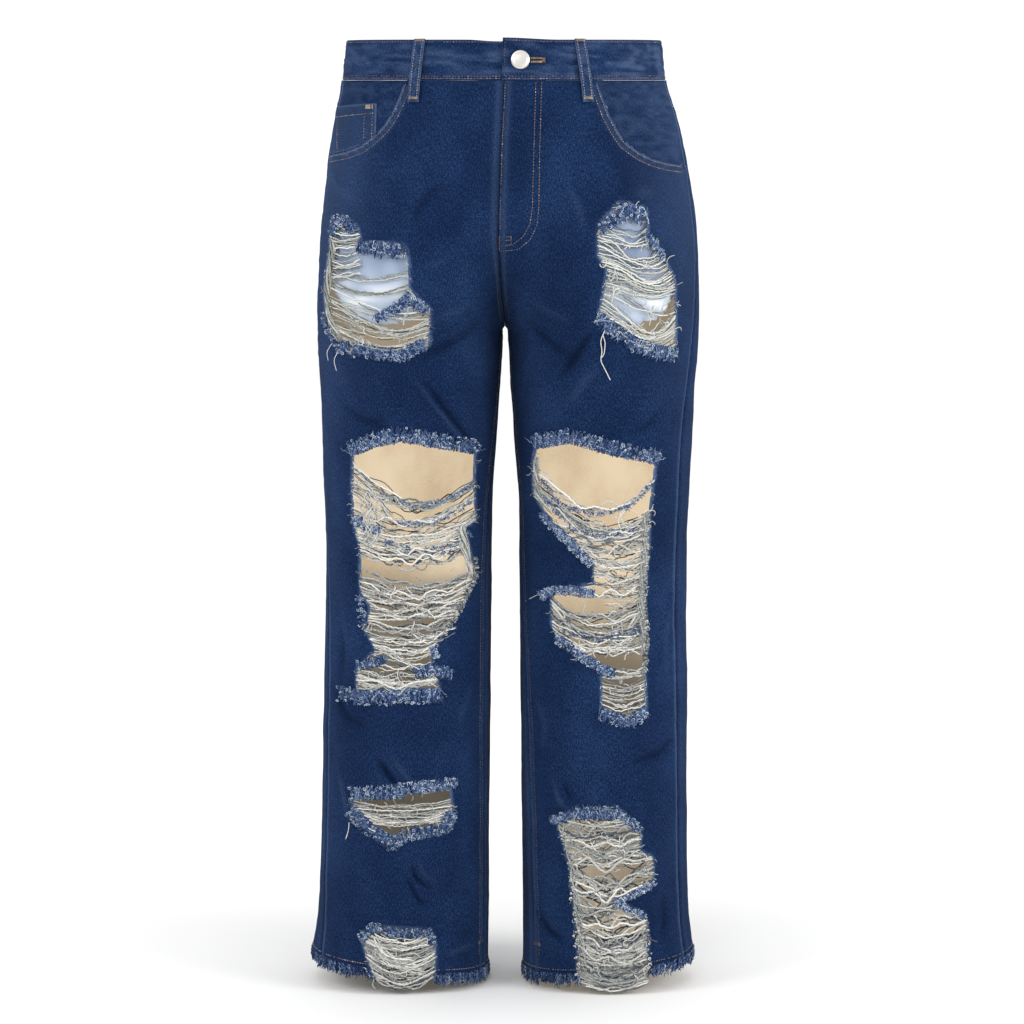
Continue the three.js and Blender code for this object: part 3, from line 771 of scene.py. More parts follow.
def frontWearAndShade(name):
    def look(at, arc, width):
        # the front's tone: paler at seams, tear and pocket edges from wear, a painted highlight on
        # crease ridges, a painted shade in the troughs
        x, z = at[..., 0], at[..., 2]
        wearAndShade = 0.22 * np.exp(-((arc - 4.2) / 2.2) ** 2) + 0.12 * np.exp(-((width - arc - 5) / 3) ** 2)
        wearAndShade += 0.045 * np.clip(relief(sideOf[name], at) - 0.8, 0, 2)  # paler on the crease ridges: painted highlight
        wearAndShade += 0.10 * ease(110, 190, np.abs(x)) * ease(-420, -60, z)  # paler towards the outer hips
        for outline in ripsOn[name]:
            d, _ = toOutline(x, z, outline)
            wearAndShade = np.maximum(wearAndShade, 0.7 * np.exp(-(d / 1.5) ** 1.5))
        d, _ = toOutline(x, z, scoop[name])
        wearAndShade = np.maximum(wearAndShade, 0.42 * np.exp(-(d / 1.3) ** 2) * (z < -24))
        wearAndShade = np.maximum(wearAndShade, 0.14 * np.exp(-((d - 5.5) / 2.4) ** 2) * (z < -24))
        troughShade = 0.24 * np.clip(-relief(sideOf[name], at) - 0.7, 0, 2)  # painted shade: darker in the crease troughs
        return np.clip(np.where(wearAndShade < 0.1, wearAndShade - troughShade, wearAndShade), -0.5, 1)
    return look


# where one row of a leg runs across a hole
def overRip(name, row, turn):
    at = skin(sideOf[name], np.full(len(turn), row), turn)
    torn = np.zeros(len(turn), bool)
    for outline in ripsOn[name]:
        torn |= insideOutline(at[:, 0], at[:, 2], outline) & (turn > 0)
    return torn


def backWearAndShade(name):
    def look(at, arc, width):
        height = relief(sideOf[name], at)
        # paler on the crease ridges, a painted highlight, and darker in the troughs, a painted shade;
        # paler beside the seams from wear
        wearAndShade = 0.05 * np.clip(height - 0.8, 0, 2) - 0.24 * np.clip(-height - 0.7, 0, 2)
        wearAndShade += 0.30 * np.exp(-((arc - 4.2) / 2.2) ** 2) + 0.16 * np.exp(-((width - arc - 5) / 3) ** 2)
        return np.clip(wearAndShade, -0.5, 1)
    return look


def yokeSeam(turn):
    return -48 - 36 * np.abs(np.sin(np.radians(turn))) ** 1.5


# leg panels, yokes
print("leg panels")
frontSpec = {"rows": 256, "columns": 82}
backSpec = {"rows": 150, "columns": 52, "top": -66, "level": -104, "slanted": 11}
yokeSpec = {"rows": 16, "columns": 54, "middle": -50.0}
frontRows = np.linspace(seamZ, hemZ, frontSpec["rows"])
backRows = np.concatenate([np.linspace(backSpec["top"], backSpec["level"], backSpec["slanted"]),
                           np.linspace(backSpec["level"] - 4.4, hemZ, backSpec["rows"])])


# a back panel's rows: the first ones run from the slant of the yoke seam to level
def backZ(turn):
    n, level = backSpec["slanted"], backSpec["level"]
    z = np.repeat(backRows[:, None], turn.shape[1], 1)
    top = yokeSeam(turn[:n]) - gap / 2
    z[:n] = top + (level - top) * np.linspace(0, 1, n)[:, None]
    return z


def yokeZ(turn):
    foot = yokeSeam(turn) + gap / 2
    return seamZ + (foot - seamZ) * np.linspace(0, 1, yokeSpec["rows"])[:, None]


for name in sideOf:
    front = tailor(name, "front" + name.capitalize(), 1, frontRows, frontSpec["columns"],
                   frontWearAndShade(name), cloths, drop=[*ripsOn[name], scoop[name]])
    finishPiece(front, "denim", f"front_{name}")
    back = tailor(name, "back" + name.capitalize(), -1, backRows, backSpec["columns"],
                  backWearAndShade(name), cloths, rowZ=backZ)
    finishPiece(back, "denim", f"back_{name}")
    yokeRows = np.full(yokeSpec["rows"], yokeSpec["middle"])
    yoke = tailor(name, "yoke" + name.capitalize(), -1, yokeRows, yokeSpec["columns"],
                  backWearAndShade(name), cloths, rowZ=yokeZ)
    finishPiece(yoke, "denim", f"yoke_{name}")

# front pockets: facing, coin pocket, cotton bags
print("pockets")
facingHem, bagDepth = 18, 4.5


# a scoop outline moved out by margin mm: more and more downwards with the distance from the waist
def grown(outline, margin):
    corner = outline[-1]
    spread = []
    for x, z in outline:
        slope = min(1, max(-z, 0) / 100)
        spread.append((x + np.sign(x - corner[0]) * margin * (1 - slope * 0.5),
                       z - margin * slope if z < 0 else z))
    return spread


bagOutline = [(68, -30), (66, -200), (76, -246), (100, -268), (134, -274), (166, -264), (184, -238),
              (191, -200), (191, -30)]


# where the cotton folds over, lowest at the bag's sides
def foldLine(x):
    return -232 - 18 * ((x - 120) / 50) ** 2


def bagFolds(at):
    x, z = np.abs(at[..., 0]), at[..., 2]
    bow = foldLine(x)
    fold = 0.9 * np.exp(-((z - bow) / 6) ** 2) - 0.8 * np.exp(-((z - bow - 13) / 7) ** 2)
    return fold + 0.6 * grain(x / 14 + 5, z / 17) - 0.4


# painted light on the bag: 1 on the fold's crest, a painted highlight, 0.6 on the cotton below it,
# falling to 0.2 above it, a painted shade under the band
def bagShade(at, *_):
    x, z = np.abs(at[..., 0]), at[..., 2]
    crest = np.exp(-((z - foldLine(x) + 6) / 5) ** 2)
    return np.clip(0.62 - 0.4 * ease(-236, -205, z) + 0.42 * crest + 0.12 * grain(x / 12, z / 14), 0, 1)


def facingWearAndPaintedLight(at, *_):
    # random paler and darker patches, and paler on the +x facing, the side of the stronger lamp: painted
    # light
    return 0.03 + 0.08 * grain(at[..., 0] / 7, at[..., 2] / 3.5) + 0.05 * (at[..., 0] > 0)


for name, side in sideOf.items():
    facing = tailor(name, "facing" + name.capitalize(), 1, np.linspace(seamZ, -140, 40), 84,
                    facingWearAndPaintedLight, cloths, -clothThick - gap, keep=[grown(scoop[name], facingHem)],
                    seams=(0, 0))
    finishPiece(facing, "denim", f"pocket_facing_{name}")
    cotton = tailor(name, "pocketBag" + name.capitalize(), 1, np.linspace(-26, crotchZ, 56), 52,
                    bagShade, (bagCotton,), -bagDepth, keep=[[(side * x, z) for x, z in bagOutline]],
                    thick=bagThick, seams=(0, 0), puff=bagFolds)
    finishPiece(cotton, "pocket_cotton", f"pocket_bag_{name}")
coinOutline = [(-240, -46), (-134, -43), (-134, -84), (-178, -93), (-240, -93)]


def coinWear(at, *_):
    d, _ = toOutline(at[..., 0], at[..., 2], coinOutline)
    return 0.08 + 0.3 * np.exp(-(d / 1.3) ** 2)


coin = tailor("right", "coinPocket", 1, np.linspace(-40, -98, 34), 110, coinWear, cloths, -gap - 0.1,
              keep=[coinOutline, grown(scoop["right"], -1.2)], thick=1.2, seams=(0, 0), cell=1.3)
finishPiece(coin, "denim", "coin_pocket")

# fly: facing, zip and shield, flat across the centre
print("fly")


def uncreased(x, z, out):
    return onCloth(x, z, 1, out, creased=0)


def flyPoint(x, z, back):
    at = uncreased(x, z, 0.0)
    ridge = uncreased(centreLine(z), z, 0.0)
    at[..., 1] = np.maximum(at[..., 1], ridge[..., 1]) + back
    return at


def flyStrip(name, node, slotName, back, thick, left, right, low, slots):
    z = np.linspace(-24, low, 60)[:, None]
    narrow = 1 - 0.55 * (1 - ease(low, -140, z))
    x = (left + (right - left) * np.linspace(0, 1, 13)) * narrow
    z = z + 0 * x
    strip = gridPiece(name, flyPoint(x, z, back), np.stack([x, z], -1), slots, thick)
    finishPiece(strip, slotName, node)


zipTape = plainCloth("zipTape", linear(52, 66, 98), linear(38, 50, 78))
steel = clothLook("steel").set(Base_Color=linear(205, 203, 198), Metallic=1.0, Roughness=0.34)
flyStrip("flyFacing", "fly_facing", "denim", 2.7, 1.2, -5, 37, -180, cloths)
flyStrip("zipTapes", "zip", "zip_tape", 4.6, 1.2, -15, 15, -172, (zipTape,))
flyStrip("flyShield", "fly_shield", "denim", 6.9, 1.2, -34, 32, -180, cloths)

# zip teeth: small blocks in two staggered rows along the tapes, 1.5 mm apart
toothZ = np.arange(-28, -166, -1.5)
toothX = np.where(np.arange(len(toothZ)) % 2, 0.9, -0.9)
at = flyPoint(centreLine(toothZ) + toothX, toothZ, 4.35)
block = np.array([(x, y, z) for x in (-1.3, 1.3) for y in (-0.25, 0.6) for z in (-0.45, 0.45)])
blockSides = np.array([(0, 1, 3, 2), (4, 6, 7, 5), (0, 4, 5, 1), (2, 3, 7, 6), (0, 2, 6, 4),
                       (1, 5, 7, 3)])
toothSides = (blockSides + len(block) * np.arange(len(at))[:, None, None]).reshape(-1, 4)
teeth = smoothMesh("zipTeeth", (at[:, None] + block).reshape(-1, 3), [toothSides], (steel,))
finishPiece(teeth, "button_metal")

# waistband: one strip, lapping at the front, degrees run from the fly by the wearer's left
print("waistband")
band = {"lapX": -2, "underX": 44, "keyhole": (26.2, 37.6), "lap": (40, 8), "rise": 2.2, "dip": 1.2}


def aroundWaist(degrees, z, out):
    side = np.where(np.sin(np.radians(degrees)) >= 0, 1, -1)
    turn = 90 - np.mod(side * degrees, 360)
    a, b = (cloth(s, z, turn, out, 0) for s in (-1, 1))
    return np.where((side < 0)[..., None], a, b)


waistHalf = float(outerReach(0))


def degreesTo(x):
    return math.degrees(x / waistHalf)


bandStart, bandEnd = degreesTo(band["lapX"]), 360 + degreesTo(band["underX"])
degrees = np.unique(np.concatenate([
    np.linspace(bandStart, bandEnd, 270), np.arange(degreesTo(24), degreesTo(41), degreesTo(1.1))]))
half = bandHalf - gap / 2
bandRows = np.array([half, 20.2, 19, 17, 14.5, 12, 9.5, 7, 5, 3.2, 1.8, 0.9, -0.9, -1.8, -3.2, -5, -7,
                     -9.5, -12, -14.5, -17, -19, -20.2, -half])
angle, level = np.meshgrid(degrees, bandRows)
fall = (half - level) / (2 * half)
tucked = ease(*(360 - degreesTo(x) for x in band["lap"]), angle)
inward = (bandThick + gap) * tucked
arcRound = np.radians(angle) * waistHalf
wrinkle = 0.6 * grain(arcRound / 24, level / 4.0) + 0.45 * grain(arcRound / 9 + 9, level / 2.6)
flatEdge = np.exp(-((half - np.abs(level)) / 2.0) ** 2)
wrinkle = wrinkle * (1 - flatEdge) - 0.8 * np.exp(-((half - np.abs(level)) / 0.9) ** 2)
wrinkle -= 0.35 * np.exp(-((np.abs(level) - 17.3) / 1.2) ** 2)
points = aroundWaist(angle, level, wrinkle - inward)
lapRise = band["rise"] * (1 - ease(0, 20, angle)) * (1 - fall)
points[..., 2] += lapRise - band["dip"] * tucked * (1 - fall)
# wrinkle crests paler, a painted highlight, and troughs darker, a painted shade; the edges paler from
# wear
bandWearAndShade = 0.05 + 0.20 * np.clip(wrinkle * 1.7, 0, 1) - 0.14 * np.clip(-wrinkle * 1.6 - 0.2, 0, 1)
bandWearAndShade += 0.16 * np.exp(-((half - np.abs(level)) / 1.6) ** 2)
# all of it stronger towards +x, so that side comes out paler: painted light from the side of the
# stronger lamp
bandWearAndShade *= 0.7 + 0.6 * ease(-120, 160, points[..., 0])
start, end = (degreesTo(x) for x in band["keyhole"])
slit = (angle[:-1, :-1] > start) & (angle[:-1, :-1] < end)
slit &= np.abs(level[:-1, :-1] + level[1:, 1:]) < 0.2
waistStrip = gridPiece("waistStrip", points, np.stack([arcRound, level], -1), bandCloths, bandThick,
                       bandWearAndShade, slit)
finishPiece(waistStrip, "denim", "waistband")

# belt loops
print("belt loops")
loopSpec = {"width": 11.5, "thick": 1.8}
loops = {
    "loopFrontRight": ("belt_loop_front_right", -87, -94, 1),
    "loopFrontLeft": ("belt_loop_front_left", 77, 86, 1),
    "loopBackRight": ("belt_loop_back_right", -98, -102, -1),
    "loopBackLeft": ("belt_loop_back_left", 98, 102, -1),
    "loopBack": ("belt_loop_back", -1, -2, -1),
}
tan = yarnHeap()


# bars along a line of points that place(*where, out) gives at out mm off the cloth
def sewAt(place, where, out, *bars, **spec):
    line = place(*where, out)
    stitchBars(tan, line, place(*where, out + 1) - line, *bars, **spec)


def loopPoint(spec, u, v, out):
    _, topX, lowX, face = spec
    z = bandHalf + 1 - (bandHalf + 44) * v
    x = topX + (lowX - topX) * v + loopSpec["width"] * (u - 0.5)
    stand = 2.3 + 2.2 * np.sin(math.pi * v) - 0.5 * np.abs(2 * u - 1) ** 6
    return onCloth(x, z, face, out + stand, creased=0)


for name, spec in loops.items():
    u, v = np.meshgrid(np.linspace(0, 1, 11), np.linspace(0, 1, 42))
    uneven = 0.25 * grain(u * 3 + spec[1], v * 9) + 0.3 * np.exp(-((np.abs(u - 0.5) - 0.3) / 0.08) ** 2)
    wearAndShade = 0.12 + 0.3 * np.abs(2 * u - 1) ** 4 + 0.14 * grain(u * 4, v * 14 + spec[1])
    uv = np.stack([u * loopSpec["width"] + spec[1], v * 65], -1)
    strip = gridPiece(name, loopPoint(spec, u, v, uneven), uv, bandCloths, loopSpec["thick"],
                      np.clip(wearAndShade, 0, 1), flip=spec[3] < 0)
    finishPiece(strip, "denim", spec[0])
    v = np.linspace(0.03, 0.97, 40)
    for u in (0.2, 0.8):
        sewAt(loopPoint, (spec, u, v), 0.25, 2.8, 2.1, 0.34, 0.86, seed=int(u * 10))
    for v0, tone in ((0.012, 0.7), (0.925, 0.8)):
        u = np.linspace(0.1, 0.9, 12)
        for k in range(3):
            sewAt(loopPoint, (spec, u, v0 + 0.012 * k), 0.3, 1.1, 1.6, 0.36, tone, seed=k)

# back pockets: plain patches with a point at the foot
print("back pockets")
seatPocket = [(22, -108), (166, -104), (158, -252), (94, -270), (30, -254)]


# u runs from the centre outwards, v downwards; the foot comes to a point
def seatPatch(side, u, v):
    x = (22 + 144 * u) * (1 - v) + (30 + 128 * u) * v
    foot = -254 + 2 * u - 17 * (1 - np.abs(2 * u - 1))
    return side * x - 2, (-108 + 4 * u) * (1 - v) + foot * v


for name, side in sideOf.items():
    u, v = np.meshgrid(np.linspace(0, 1, 43), np.linspace(0, 1, 45))
    x, z = seatPatch(side, u, v)
    rimOff = np.minimum(np.minimum(u, 1 - u) * 136, np.minimum(v, 1 - v) * 156)
    roll = 0.5 * np.exp(-((rimOff - 5) / 3) ** 2) - 0.7 * np.exp(-(rimOff / 1.4) ** 2)
    points = onCloth(x, z, -1, gap + clothThick + 0.3 + roll, side)
    d, _ = toOutline(x, z, [(side * a - 2, b) for a, b in seatPocket])
    wearAndShade = 0.03 + 0.36 * np.exp(-(d / 1.8) ** 2) + 0.12 * np.exp(-((d - 5) / 3) ** 2)
    patch = gridPiece("backPocket" + name.capitalize(), points, np.stack([x, z], -1), cloths, clothThick,
                      wearAndShade, flip=side > 0)
    finishPiece(patch, "denim", f"back_pocket_{name}")

# button: a satin disc with a rolled rim on a shank
print("button")
buttonX, rim, spokes = 16, 10, 56
profile = np.array([(0.01, 3.55), (2, 3.5), (4.5, 3.35), (6.4, 3.2), (6.9, 3.45), (7.4, 3.9), (8.3, 4.0),
                    (9.2, 3.75), (rim, 2.6), (rim, 2.0), (9.4, 1.4), (8.6, 1.2), (3, 1.2), (3, -2.7),
                    (0.01, -2.7)])
share = np.linspace(0, len(profile) - 1, 43)
r, h = (np.interp(share, range(len(profile)), profile[:, k]) for k in (0, 1))
a = 2 * math.pi * np.arange(spokes) / spokes
centre = uncreased(buttonX, 0, 0.0)
facing = uncreased(buttonX, 0, 1.0) - centre
across = np.cross(facing, [0, 0, 1.0])
across /= np.linalg.norm(across)
above = np.cross(across, facing)
ring = np.cos(a)[:, None] * across + np.sin(a)[:, None] * above
points = centre + h[:, None, None] * facing + r[:, None, None] * ring
index = np.arange(points.shape[0] * spokes).reshape(-1, spokes)
quads = np.stack([index[:-1], index[1:], np.roll(index[1:], -1, 1), np.roll(index[:-1], -1, 1)], -1)
button = smoothMesh("flyButton", points.reshape(-1, 3), [quads.reshape(-1, 4)], (steel,))
finishPiece(button, "button_metal", "button")

# seams and topstitching
print("stitches")


def dense(points, step=2.0):
    points = np.asarray(points, float)
    far = runLength(points)
    s = np.linspace(0, far[-1], max(int(far[-1] / step), 2) + 1)
    return np.stack([np.interp(s, far, points[:, k]) for k in (0, 1)], -1)


# a line moved sideways by d mm, to the left of its direction where d is above 0
def beside(points, d):
    points = dense(points, 3.0)
    run = np.gradient(points, axis=0)
    run /= np.linalg.norm(run, axis=1, keepdims=True)
    kernel = np.ones(5) / 5
    run = np.stack([np.convolve(np.pad(run[:, k], 2, "edge"), kernel, "valid") for k in (0, 1)], -1)
    return points + d * np.stack([-run[:, 1], run[:, 0]], -1)


# a line off mm to the wearer's left of the centre line
def besideCentre(off, top, foot):
    z = np.arange(top, foot, -2.0)
    return np.stack([centreLine(z) + off, z], -1)


def sew(points, face=1, out=0.1, side=None, creased=1.0, **spec):
    x, z = dense(points).T
    line = onCloth(x, z, face, out, side, creased)
    up = onCloth(x, z, face, out + 1, side, creased) - line
    stitchBars(tan, line, up, **spec)


def sewTurns(side, z, turn, **spec):
    sewAt(cloth, (side, *np.broadcast_arrays(np.asarray(z, float), turn)), 0.1, **spec)


twinTan = {"pitch": 3.1, "length": 2.4, "radius": 0.38, "tone": 0.66}
rust = {"pitch": 3.2, "length": 2.3, "radius": 0.34, "tone": 0.42}
faded = {"pitch": 2.9, "length": 2.2, "radius": 0.38, "tone": 0.72}
inner = {"pitch": 3.0, "length": 2.3, "radius": 0.38}
sew([(32, -22), (30, -88), (28.5, -150), (26, -168), (19, -181), (8, -189), (-5, -190.5)], **twinTan)
sew([(38, -22), (36, -88), (35, -152), (33, -170), (26, -184), (14, -194), (-5, -196)], **twinTan)
for path in ([(-5, -181), (7, -181)], [(-5, -184.6), (7, -184.6)], [(-5.4, -180), (-5.4, -196)],
             [(6.6, -180), (6.6, -190)]):  # the small box at its foot
    sew(path, pitch=2.0, length=1.8, radius=0.36, tone=0.66)
sew(besideCentre(1.6, -24, -176), pitch=2.9, length=2.2, radius=0.36, tone=0.6, drop=0.1)
for off in (-4.6, 4.6):
    sew(besideCentre(off, -192, -272), pitch=2.9, length=2.2, radius=0.36, tone=0.34)
for name, side in sideOf.items():
    for d in (1.9, 7.4):
        path = beside(scoop[name][1:-2], -side * d)
        sew(path[path[:, 1] < -23], side=side, **faded)
for path in ([(-180, -56), (-136, -53.5)], [(-137.5, -46), (-138, -82)], [(-146, -56), (-146.5, -80)],
             [(-177, -57), (-176.5, -90)]):  # the coin pocket's edges
    sew(path, side=-1, out=-0.2, **faded)
for k in range(4):  # and the bar at its corner
    sew([(-145, -45.2 - 1.1 * k), (-137, -45 - 1.1 * k)], side=-1, out=0, pitch=1.1, length=1.6,
        radius=0.4, tone=0.95)

# waistband rows, at heights on the band
for z0, tone in ((18.2, 0.55), (-16.8, 0.5), (-19.0, 0.62)):
    d = np.linspace(bandStart + 1, 360 + degreesTo(-3), 700)
    z1 = np.full(len(d), z0)
    lift = band["rise"] * (1 - ease(0, 20, d)) * (half + z0) / (2 * half)
    line = aroundWaist(d, z1, 0.15)
    up = aroundWaist(d, z1, 1.15) - line
    line[:, 2] += lift
    stitchBars(tan, line, up, seed=int(z0 + 50), drop=0.04, **{**rust, "tone": tone})
z = np.linspace(-17, 17, 20)
d = np.full(20, degreesTo(0.6))
line = aroundWaist(d, z, 0.2)
line[:, 2] += band["rise"] * (z + half) / (2 * half)
stitchBars(tan, line, aroundWaist(d, z, 1.2) - line + [0, 0, 1e-6], **rust)

# inner leg, hems, seat
for name, side in sideOf.items():
    z = np.arange(-282, -950, -2.0)
    for d in (3.0, 6.4):
        sewTurns(side, z, 180 - inseam[name](z) - d, **inner, tone=0.40, seed=int(d))
    end = 180 - float(inseam[name](-935))
    turn = np.linspace(end - 8, end, 8)
    for k in range(3):
        sewTurns(side, -934 - 1.1 * k, turn, pitch=1.2, length=1.8, radius=0.4, tone=0.6)
    turn = np.arange(-180, 180, 1.2)
    change = np.diff(np.concatenate([[1], overRip(name, -953.0, turn).astype(int), [1]]))
    for a0, a1 in zip(np.flatnonzero(change == -1), np.flatnonzero(change == 1)):
        if a1 - a0 > 3:
            sewTurns(side, -959.5, turn[a0:a1], pitch=3.0, length=2.5, radius=0.46, tone=0.68,
                     seed=a0, drop=0.12)
    for d in (3.0, 9.0):
        turn = np.linspace(-3, -86 if side > 0 else -88, 90)
        sewTurns(side, yokeSeam(turn) + d, turn, pitch=3.1, length=2.3, radius=0.38, tone=0.5)
    outline = np.array([(side * x - 2, z) for x, z in seatPocket])
    for d in (2.0, 8.0):
        sew(beside(np.roll(outline, -1, 0), -side * d), -1, 2.0, side, **twinTan)
    top = beside(outline[:2], -side * 11)
    sew(top[2:-2], -1, 2.0, side, **twinTan)
for off in (3.4, 9.0):
    sew(besideCentre(off, -88, -272), -1, side=1, **inner, tone=0.5)

# keyhole: tan bars round the slit and a bar at its end
for edge in (1, -1):
    for x in np.linspace(27, 38, 20):
        bar = (np.full(4, x), edge * np.linspace(0.7, 3.0, 4))
        sewAt(uncreased, bar, 0.35, 2.4, 2.5, 0.34, 0.72, 0.08, seed=int(10 * x))
for k in range(7):
    bar = (np.full(5, 38.6 + 0.5 * k), np.linspace(-3, 3, 5))
    sewAt(uncreased, bar, 0.4, 6, 5.6, 0.36, 0.66, 0.08, seed=k)
finishPiece(tan.join("stitches", (tanThread,)), "stitching")

# torn places: weft yarns across the holes, curled warp ends on their edges
print("torn places")
rng = np.random.default_rng(5)
tuckIn = 1.8  # how far a yarn's ends run under the cloth beside a hole


# x of a hole's left (end 0) or right (end 1) edge at each height
def holeEdge(outline, z, end):
    a = np.asarray(outline, float)
    b = np.roll(a, -1, 0)
    z = np.clip(np.asarray(z, float), a[:, 1].min() + 0.5, a[:, 1].max() - 0.5)[..., None]
    spans = (a[:, 1] > z) != (b[:, 1] > z)
    rise = np.where(b[:, 1] == a[:, 1], 1.0, b[:, 1] - a[:, 1])
    x = a[:, 0] + (z - a[:, 1]) * (b[:, 0] - a[:, 0]) / rise
    return np.where(spans, x, -1e9).max(-1) if end else np.where(spans, x, 1e9).min(-1)


def waver(n, p, size, lowest=1.0, highest=5.0):
    s = np.linspace(0, 1, p)
    total = np.zeros((n, p))
    for _ in range(4):
        f = rng.uniform(lowest, highest, (n, 1))
        total += rng.normal(0, 0.5, (n, 1)) * np.sin(2 * math.pi * f * s + rng.uniform(0, 6.28, (n, 1)))
    return size * total


# small crimps, about one every 6 mm: across = size cos(2 pi length s / wave), up = size sin(the same)
def crimps(n, s, length, wave, size):
    turns = 2 * math.pi * s * (length / wave)[:, None] + rng.uniform(0, 6.28, (n, 1))
    turns = turns + waver(n, len(s), 1.6, 0.6, 2.5)
    return size * np.cos(turns), size * np.sin(turns)


# loose yarns: heading turns steadily and wavers, step by step from a start point
def strays(torn, x, z, heading, length, thick, tone, curl, p, out):
    n = len(x)
    bend = rng.normal(0, curl, (n, 1)) * np.linspace(0, 1, p) + waver(n, p, curl * 0.5, 0.4, 1.4)
    angle = heading[:, None] + bend
    step = (length / (p - 1))[:, None]
    px = x[:, None] + np.cumsum(np.cos(angle) * step, 1)
    pz = z[:, None] + np.cumsum(np.sin(angle) * step, 1)
    lift = out + rng.uniform(0, 1.2, (n, 1)) * np.sin(math.pi * np.linspace(0, 0.8, p))
    torn.pale.lay(px, pz, lift, torn.side, thick * rng.uniform(0.8, 1.2, (n, 1)), tone, 0.14)


# n or perMm points picked along a path, the path's direction there, and how many they are
def alongPath(points, n=0, perMm=0.0):
    n = n or max(int(runLength(np.asarray(points, float))[-1] * perMm), 2)
    path = dense(points, 1.0)
    run = np.gradient(path, axis=0)
    run /= np.maximum(np.linalg.norm(run, axis=1, keepdims=True), 1e-9)
    pick = rng.integers(0, len(path), n)
    return path[pick] + rng.normal(0, 0.5, (n, 2)), run[pick], n


# crimped ends: forward = far s - shy, sideways = size sin(2 pi far s / wave)
def curls(heap, side, path, way, reach, perMm, wave=(3.0, 5.2), size=1.1, thick=0.42, tone=0.5,
          shy=0.0, spread=0.5, lift=1.6, p=11, toneSpread=0.16):
    base, run, n = alongPath(path, perMm=perMm)
    ahead = np.stack([-run[:, 1], run[:, 0]], -1) * way
    lean = rng.normal(0, spread, (n, 1))
    forward = ahead * np.cos(lean) + run * np.sin(lean)
    sideways = np.stack([-forward[:, 1], forward[:, 0]], -1)
    s = np.linspace(0, 1, p)
    far = reach * rng.uniform(0.55, 1.04, (n, 1))
    turns = 2 * math.pi * far * s / rng.uniform(*wave, (n, 1)) + rng.uniform(0, 6.28, (n, 1))
    go = far * s - shy + 0.4 * size * np.cos(turns)
    swing = size * rng.uniform(0.5, 1.2, (n, 1)) * np.sin(turns)
    x = base[:, :1] + forward[:, :1] * go + sideways[:, :1] * swing
    z = base[:, 1:] + forward[:, 1:] * go + sideways[:, 1:] * swing
    out = 0.3 + rng.uniform(0.3, lift, (n, 1)) * np.sin(math.pi * (0.12 + 0.8 * s))
    heap.lay(x, z, out + 0.45 * np.cos(turns + 1), side, thick * rng.uniform(0.8, 1.25, (n, 1)), tone,
             toneSpread)


# little loops that lie on a band, each about a turn of 1 to 2 mm radius
def loopsOn(heap, side, path, way, reach, perMm, thick=0.4, tone=0.66, shy=0.0, p=9):
    base, run, n = alongPath(path, perMm=perMm)
    ahead = np.stack([-run[:, 1], run[:, 0]], -1) * way
    middle = base + ahead * rng.uniform(-shy, 0.92 * reach - shy, (n, 1))
    s = np.linspace(0, 1, p)
    first = rng.uniform(0, 6.28, (n, 1))
    angle = first + rng.choice([-1, 1], (n, 1)) * rng.uniform(3.2, 7.2, (n, 1)) * s
    size = rng.uniform(0.8, 2.0, (n, 1)) * (1 - 0.4 * s)
    out = 0.9 + rng.uniform(0, 1.4, (n, 1)) + 0.4 * np.sin(angle)
    heap.lay(middle[:, :1] + size * np.cos(angle), middle[:, 1:] + size * np.sin(angle), out, side,
             thick * rng.uniform(0.8, 1.25, (n, 1)), tone, 0.18)


tears = {}


